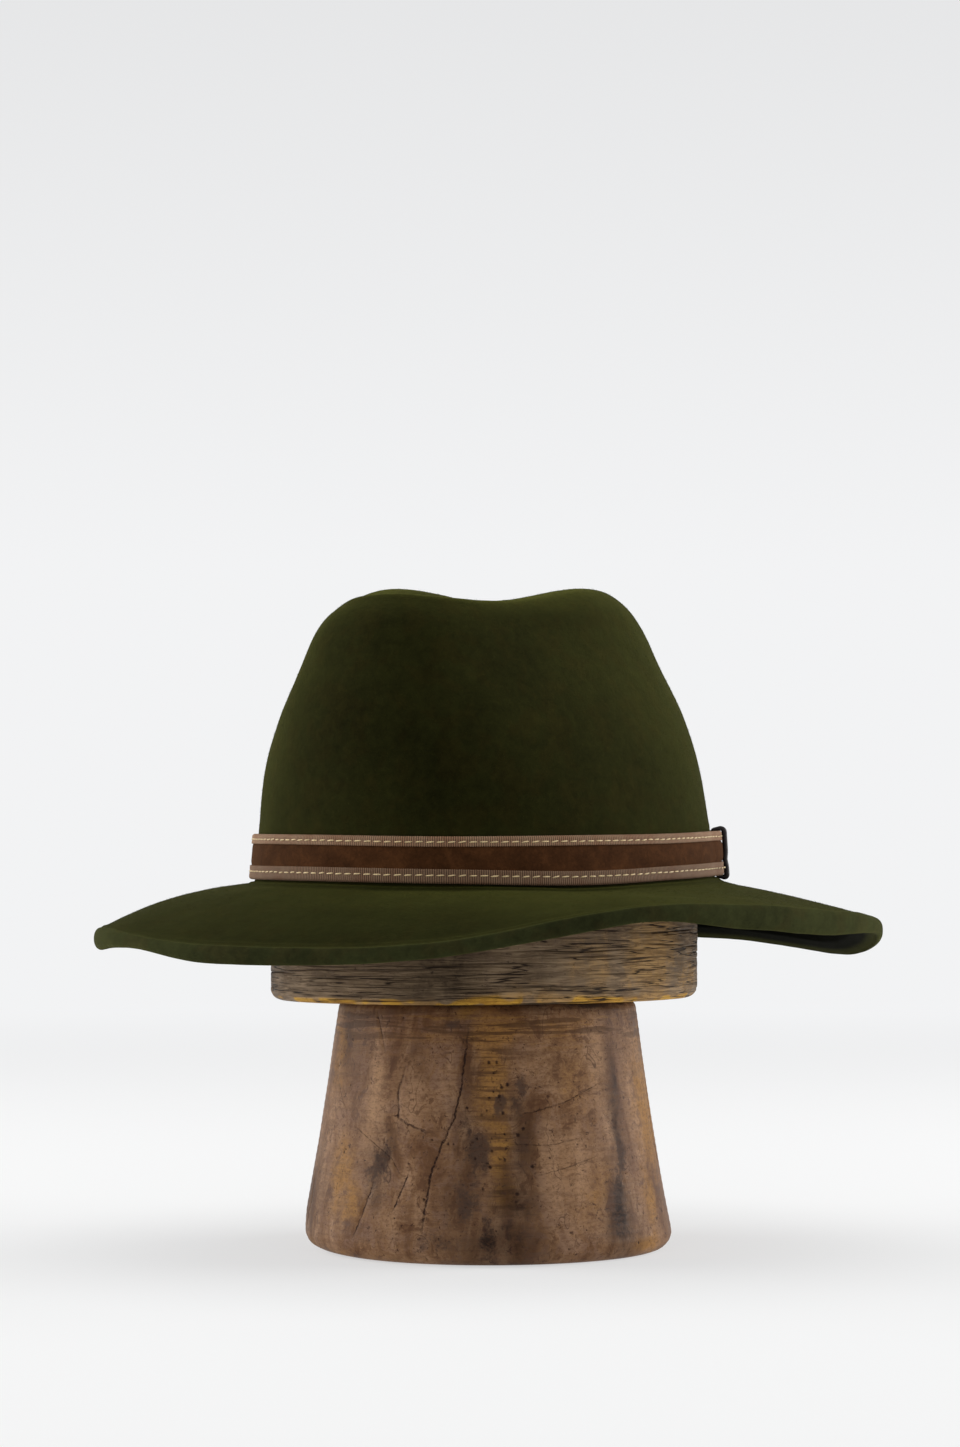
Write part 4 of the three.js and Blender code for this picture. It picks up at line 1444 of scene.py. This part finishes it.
def soft_light(name, place, target, size, power):
    data = bpy.data.lights.new(name, "AREA")
    data.shape = "RECTANGLE"
    data.size, data.size_y = size
    data.energy = power
    lamp = bpy.data.objects.new(name, data)
    lamp.location = place
    lamp.rotation_euler = (target - place).to_track_quat("-Z", "Y").to_euler()
    bpy.context.scene.collection.objects.link(lamp)
    lamp.visible_camera = False


def studio_floor(stage):
    """A wide pale floor that fades into the room's pale colour far from the stand."""
    around, level = 96, -0.2 * MM
    rings = np.array([0.5, 1, 1.5, 2, 3, 4, 6, 10, 20, 60])[:, None]
    angle = np.arange(around) * TURN / around
    x, y = rings * np.sin(angle), -rings * np.cos(angle)
    points = np.stack([x, y, np.full_like(x, level)], axis=-1).reshape(-1, 3)
    vertices = np.vstack([points, (0, 0, level)])
    faces = ring_faces(len(rings), around) + fan_faces(0, around, len(points))
    mesh = bpy.data.meshes.new("floor")
    mesh.from_pydata(vertices.tolist(), [], faces)
    finish = Finish("pale_floor", Roughness=0.9, Specular_IOR_Level=0.0)
    distance = finish.node("VectorMath", {"Vector": finish.place()}, operation="LENGTH")
    far = finish.between(distance.outputs["Value"], 0.45, 2.6)
    finish.body = finish.mix(far, stage.floor_colour, (0, 0, 0))
    far_light = stage.room_light * stage.horizon
    glow = finish.math("ADD", stage.floor_light, finish.times(far, far_light - stage.floor_light))
    finish.set(Emission_Color=(*stage.room_colour, 1), Emission_Strength=glow)
    mesh.materials.append(finish.material)
    floor = bpy.data.objects.new("floor", mesh)
    bpy.context.scene.collection.objects.link(floor)


def room_light(stage):
    """A pale room, even round the horizon and darker overhead."""
    world = bpy.data.worlds.new("pale_room")
    world.use_nodes = True
    tree = world.node_tree
    background = tree.nodes["Background"]
    background.inputs["Strength"].default_value = stage.room_light
    direction = tree.nodes.new("ShaderNodeTexCoord").outputs["Generated"]
    height = tree.nodes.new("ShaderNodeSeparateXYZ")
    tree.links.new(direction, height.inputs[0])
    ramp = tree.nodes.new("ShaderNodeValToRGB")
    tree.links.new(height.outputs["Z"], ramp.inputs["Fac"])
    low, high = stage.horizon, stage.overhead
    shares = ((0.0, low), (0.10, low), (0.27, 1), (0.34, 1), (0.75, high))
    colour = np.array(stage.room_colour)
    set_stops(ramp.color_ramp.elements, [(place, colour * share) for place, share in shares])
    tree.links.new(ramp.outputs[0], background.inputs["Color"])
    return world


def studio(context):
    """The floor, the lights and the camera at the photograph's angle."""
    stage = context.scene.loden_stage
    scene = context.scene
    studio_floor(stage)
    scene.world = room_light(stage)
    scene.view_settings.view_transform = "Standard"

    azimuth = stage.azimuth
    right = Vector((math.cos(azimuth), math.sin(azimuth), 0))
    back = Vector((-math.sin(azimuth), math.cos(azimuth), 0))
    middle = Vector((0, 0, LIT_HEIGHT))
    for name, (to_right, away, up), size, power in LIGHTS:
        soft_light(name, right * to_right + back * away + Vector((0, 0, up)), middle, size, power)

    camera_data = bpy.data.cameras.new("camera")
    camera_data.sensor_width = 36
    camera_data.lens = FOCAL_PIXELS / PHOTO_HEIGHT * camera_data.sensor_width
    camera_data.shift_y = (HORIZON_ROW - PHOTO_HEIGHT / 2) / PHOTO_HEIGHT
    camera_data.shift_x = (PHOTO_WIDTH / 2 - AXIS_COLUMN) / PHOTO_HEIGHT
    camera = bpy.data.objects.new("camera", camera_data)
    camera.location = -stage.distance * back + Vector((0, 0, stage.eye_height))
    camera.rotation_euler = (math.pi / 2, 0, azimuth)
    scene.collection.objects.link(camera)
    scene.camera = camera


# Operators, one for each piece or group of like pieces, and one for the stage


class HAT_OT_felt(bpy.types.Operator):
    """Build the felt crown and brim with its nap"""

    bl_idname = "loden_hat.felt"
    bl_label = "Felt Crown and Brim"

    def execute(self, context):
        nap_fibres(context, *felt_body(context))
        return {"FINISHED"}


class HAT_OT_suede(bpy.types.Operator):
    """Build the suede strip of the band"""

    bl_idname = "loden_hat.suede"
    bl_label = "Suede Strip"

    def execute(self, context):
        suede_strip(context, FeltSurface(context.scene.loden_felt))
        return {"FINISHED"}


class HAT_OT_ribbons(bpy.types.Operator):
    """Build the two ribbed ribbons that bind the suede"""

    bl_idname = "loden_hat.ribbons"
    bl_label = "Binding Ribbons"

    def execute(self, context):
        surface = FeltSurface(context.scene.loden_felt)
        ribbon(context, surface, "binding_upper", "ribbon_upper", over_top=True)
        ribbon(context, surface, "binding_lower", "ribbon_lower", over_top=False)
        return {"FINISHED"}


class HAT_OT_stitching(bpy.types.Operator):
    """Build the stitches along both ribbons"""

    bl_idname = "loden_hat.stitching"
    bl_label = "Stitching"

    def execute(self, context):
        surface = FeltSurface(context.scene.loden_felt)
        band = context.scene.loden_band
        upper_share = 1 - (band.upper_width - band.upper_inset) / band.height
        lower_share = (band.lower_width - band.lower_inset) / band.height
        stitches(context, surface, "stitches_upper", upper_share)
        stitches(context, surface, "stitches_lower", lower_share)
        return {"FINISHED"}


class HAT_OT_keeper(bpy.types.Operator):
    """Build the leather keeper round the band"""

    bl_idname = "loden_hat.keeper"
    bl_label = "Keeper"

    def execute(self, context):
        keeper_loop(context, FeltSurface(context.scene.loden_felt))
        return {"FINISHED"}


class HAT_OT_stand(bpy.types.Operator):
    """Build the oval block and the turned foot"""

    bl_idname = "loden_hat.stand"
    bl_label = "Wooden Stand"

    def execute(self, context):
        stand_block(context)
        stand_pedestal(context)
        return {"FINISHED"}


class HAT_OT_stage(bpy.types.Operator):
    """Set up the floor, the lights and the camera"""

    bl_idname = "loden_hat.stage"
    bl_label = "Stage"

    def execute(self, context):
        studio(context)
        return {"FINISHED"}


class HAT_PT_tools(bpy.types.Panel):
    """Lists the hat's pieces and their sizes"""

    bl_idname = "HAT_PT_tools"
    bl_label = "Loden Hat"
    bl_space_type = "VIEW_3D"
    bl_region_type = "UI"
    bl_category = "Hat"

    def draw(self, context):
        for operator in OPERATORS:
            self.layout.operator(operator.bl_idname)
        for name in SETTINGS:
            group = getattr(context.scene, name)
            box = self.layout.box()
            for key in group.bl_rna.properties.keys():
                if key not in ("rna_type", "name"):
                    box.prop(group, key)


OPERATORS = (
    HAT_OT_felt,
    HAT_OT_suede,
    HAT_OT_ribbons,
    HAT_OT_stitching,
    HAT_OT_keeper,
    HAT_OT_stand,
    HAT_OT_stage,
)
SETTINGS = {
    "loden_felt": FeltSettings,
    "loden_band": BandSettings,
    "loden_stand": StandSettings,
    "loden_stage": StageSettings,
}
CLASSES = (*SETTINGS.values(), *OPERATORS, HAT_PT_tools)


def register():
    for cls in CLASSES:
        bpy.utils.register_class(cls)
    for name, group in SETTINGS.items():
        setattr(bpy.types.Scene, name, PointerProperty(type=group))


def unregister():
    for name in SETTINGS:
        delattr(bpy.types.Scene, name)
    for cls in reversed(CLASSES):
        bpy.utils.unregister_class(cls)


def main():
    register()
    bpy.ops.loden_hat.felt()
    bpy.ops.loden_hat.suede()
    bpy.ops.loden_hat.ribbons()
    bpy.ops.loden_hat.stitching()
    bpy.ops.loden_hat.keeper()
    bpy.ops.loden_hat.stand()
    bpy.ops.loden_hat.stage()


if __name__ == "__main__":
    main()
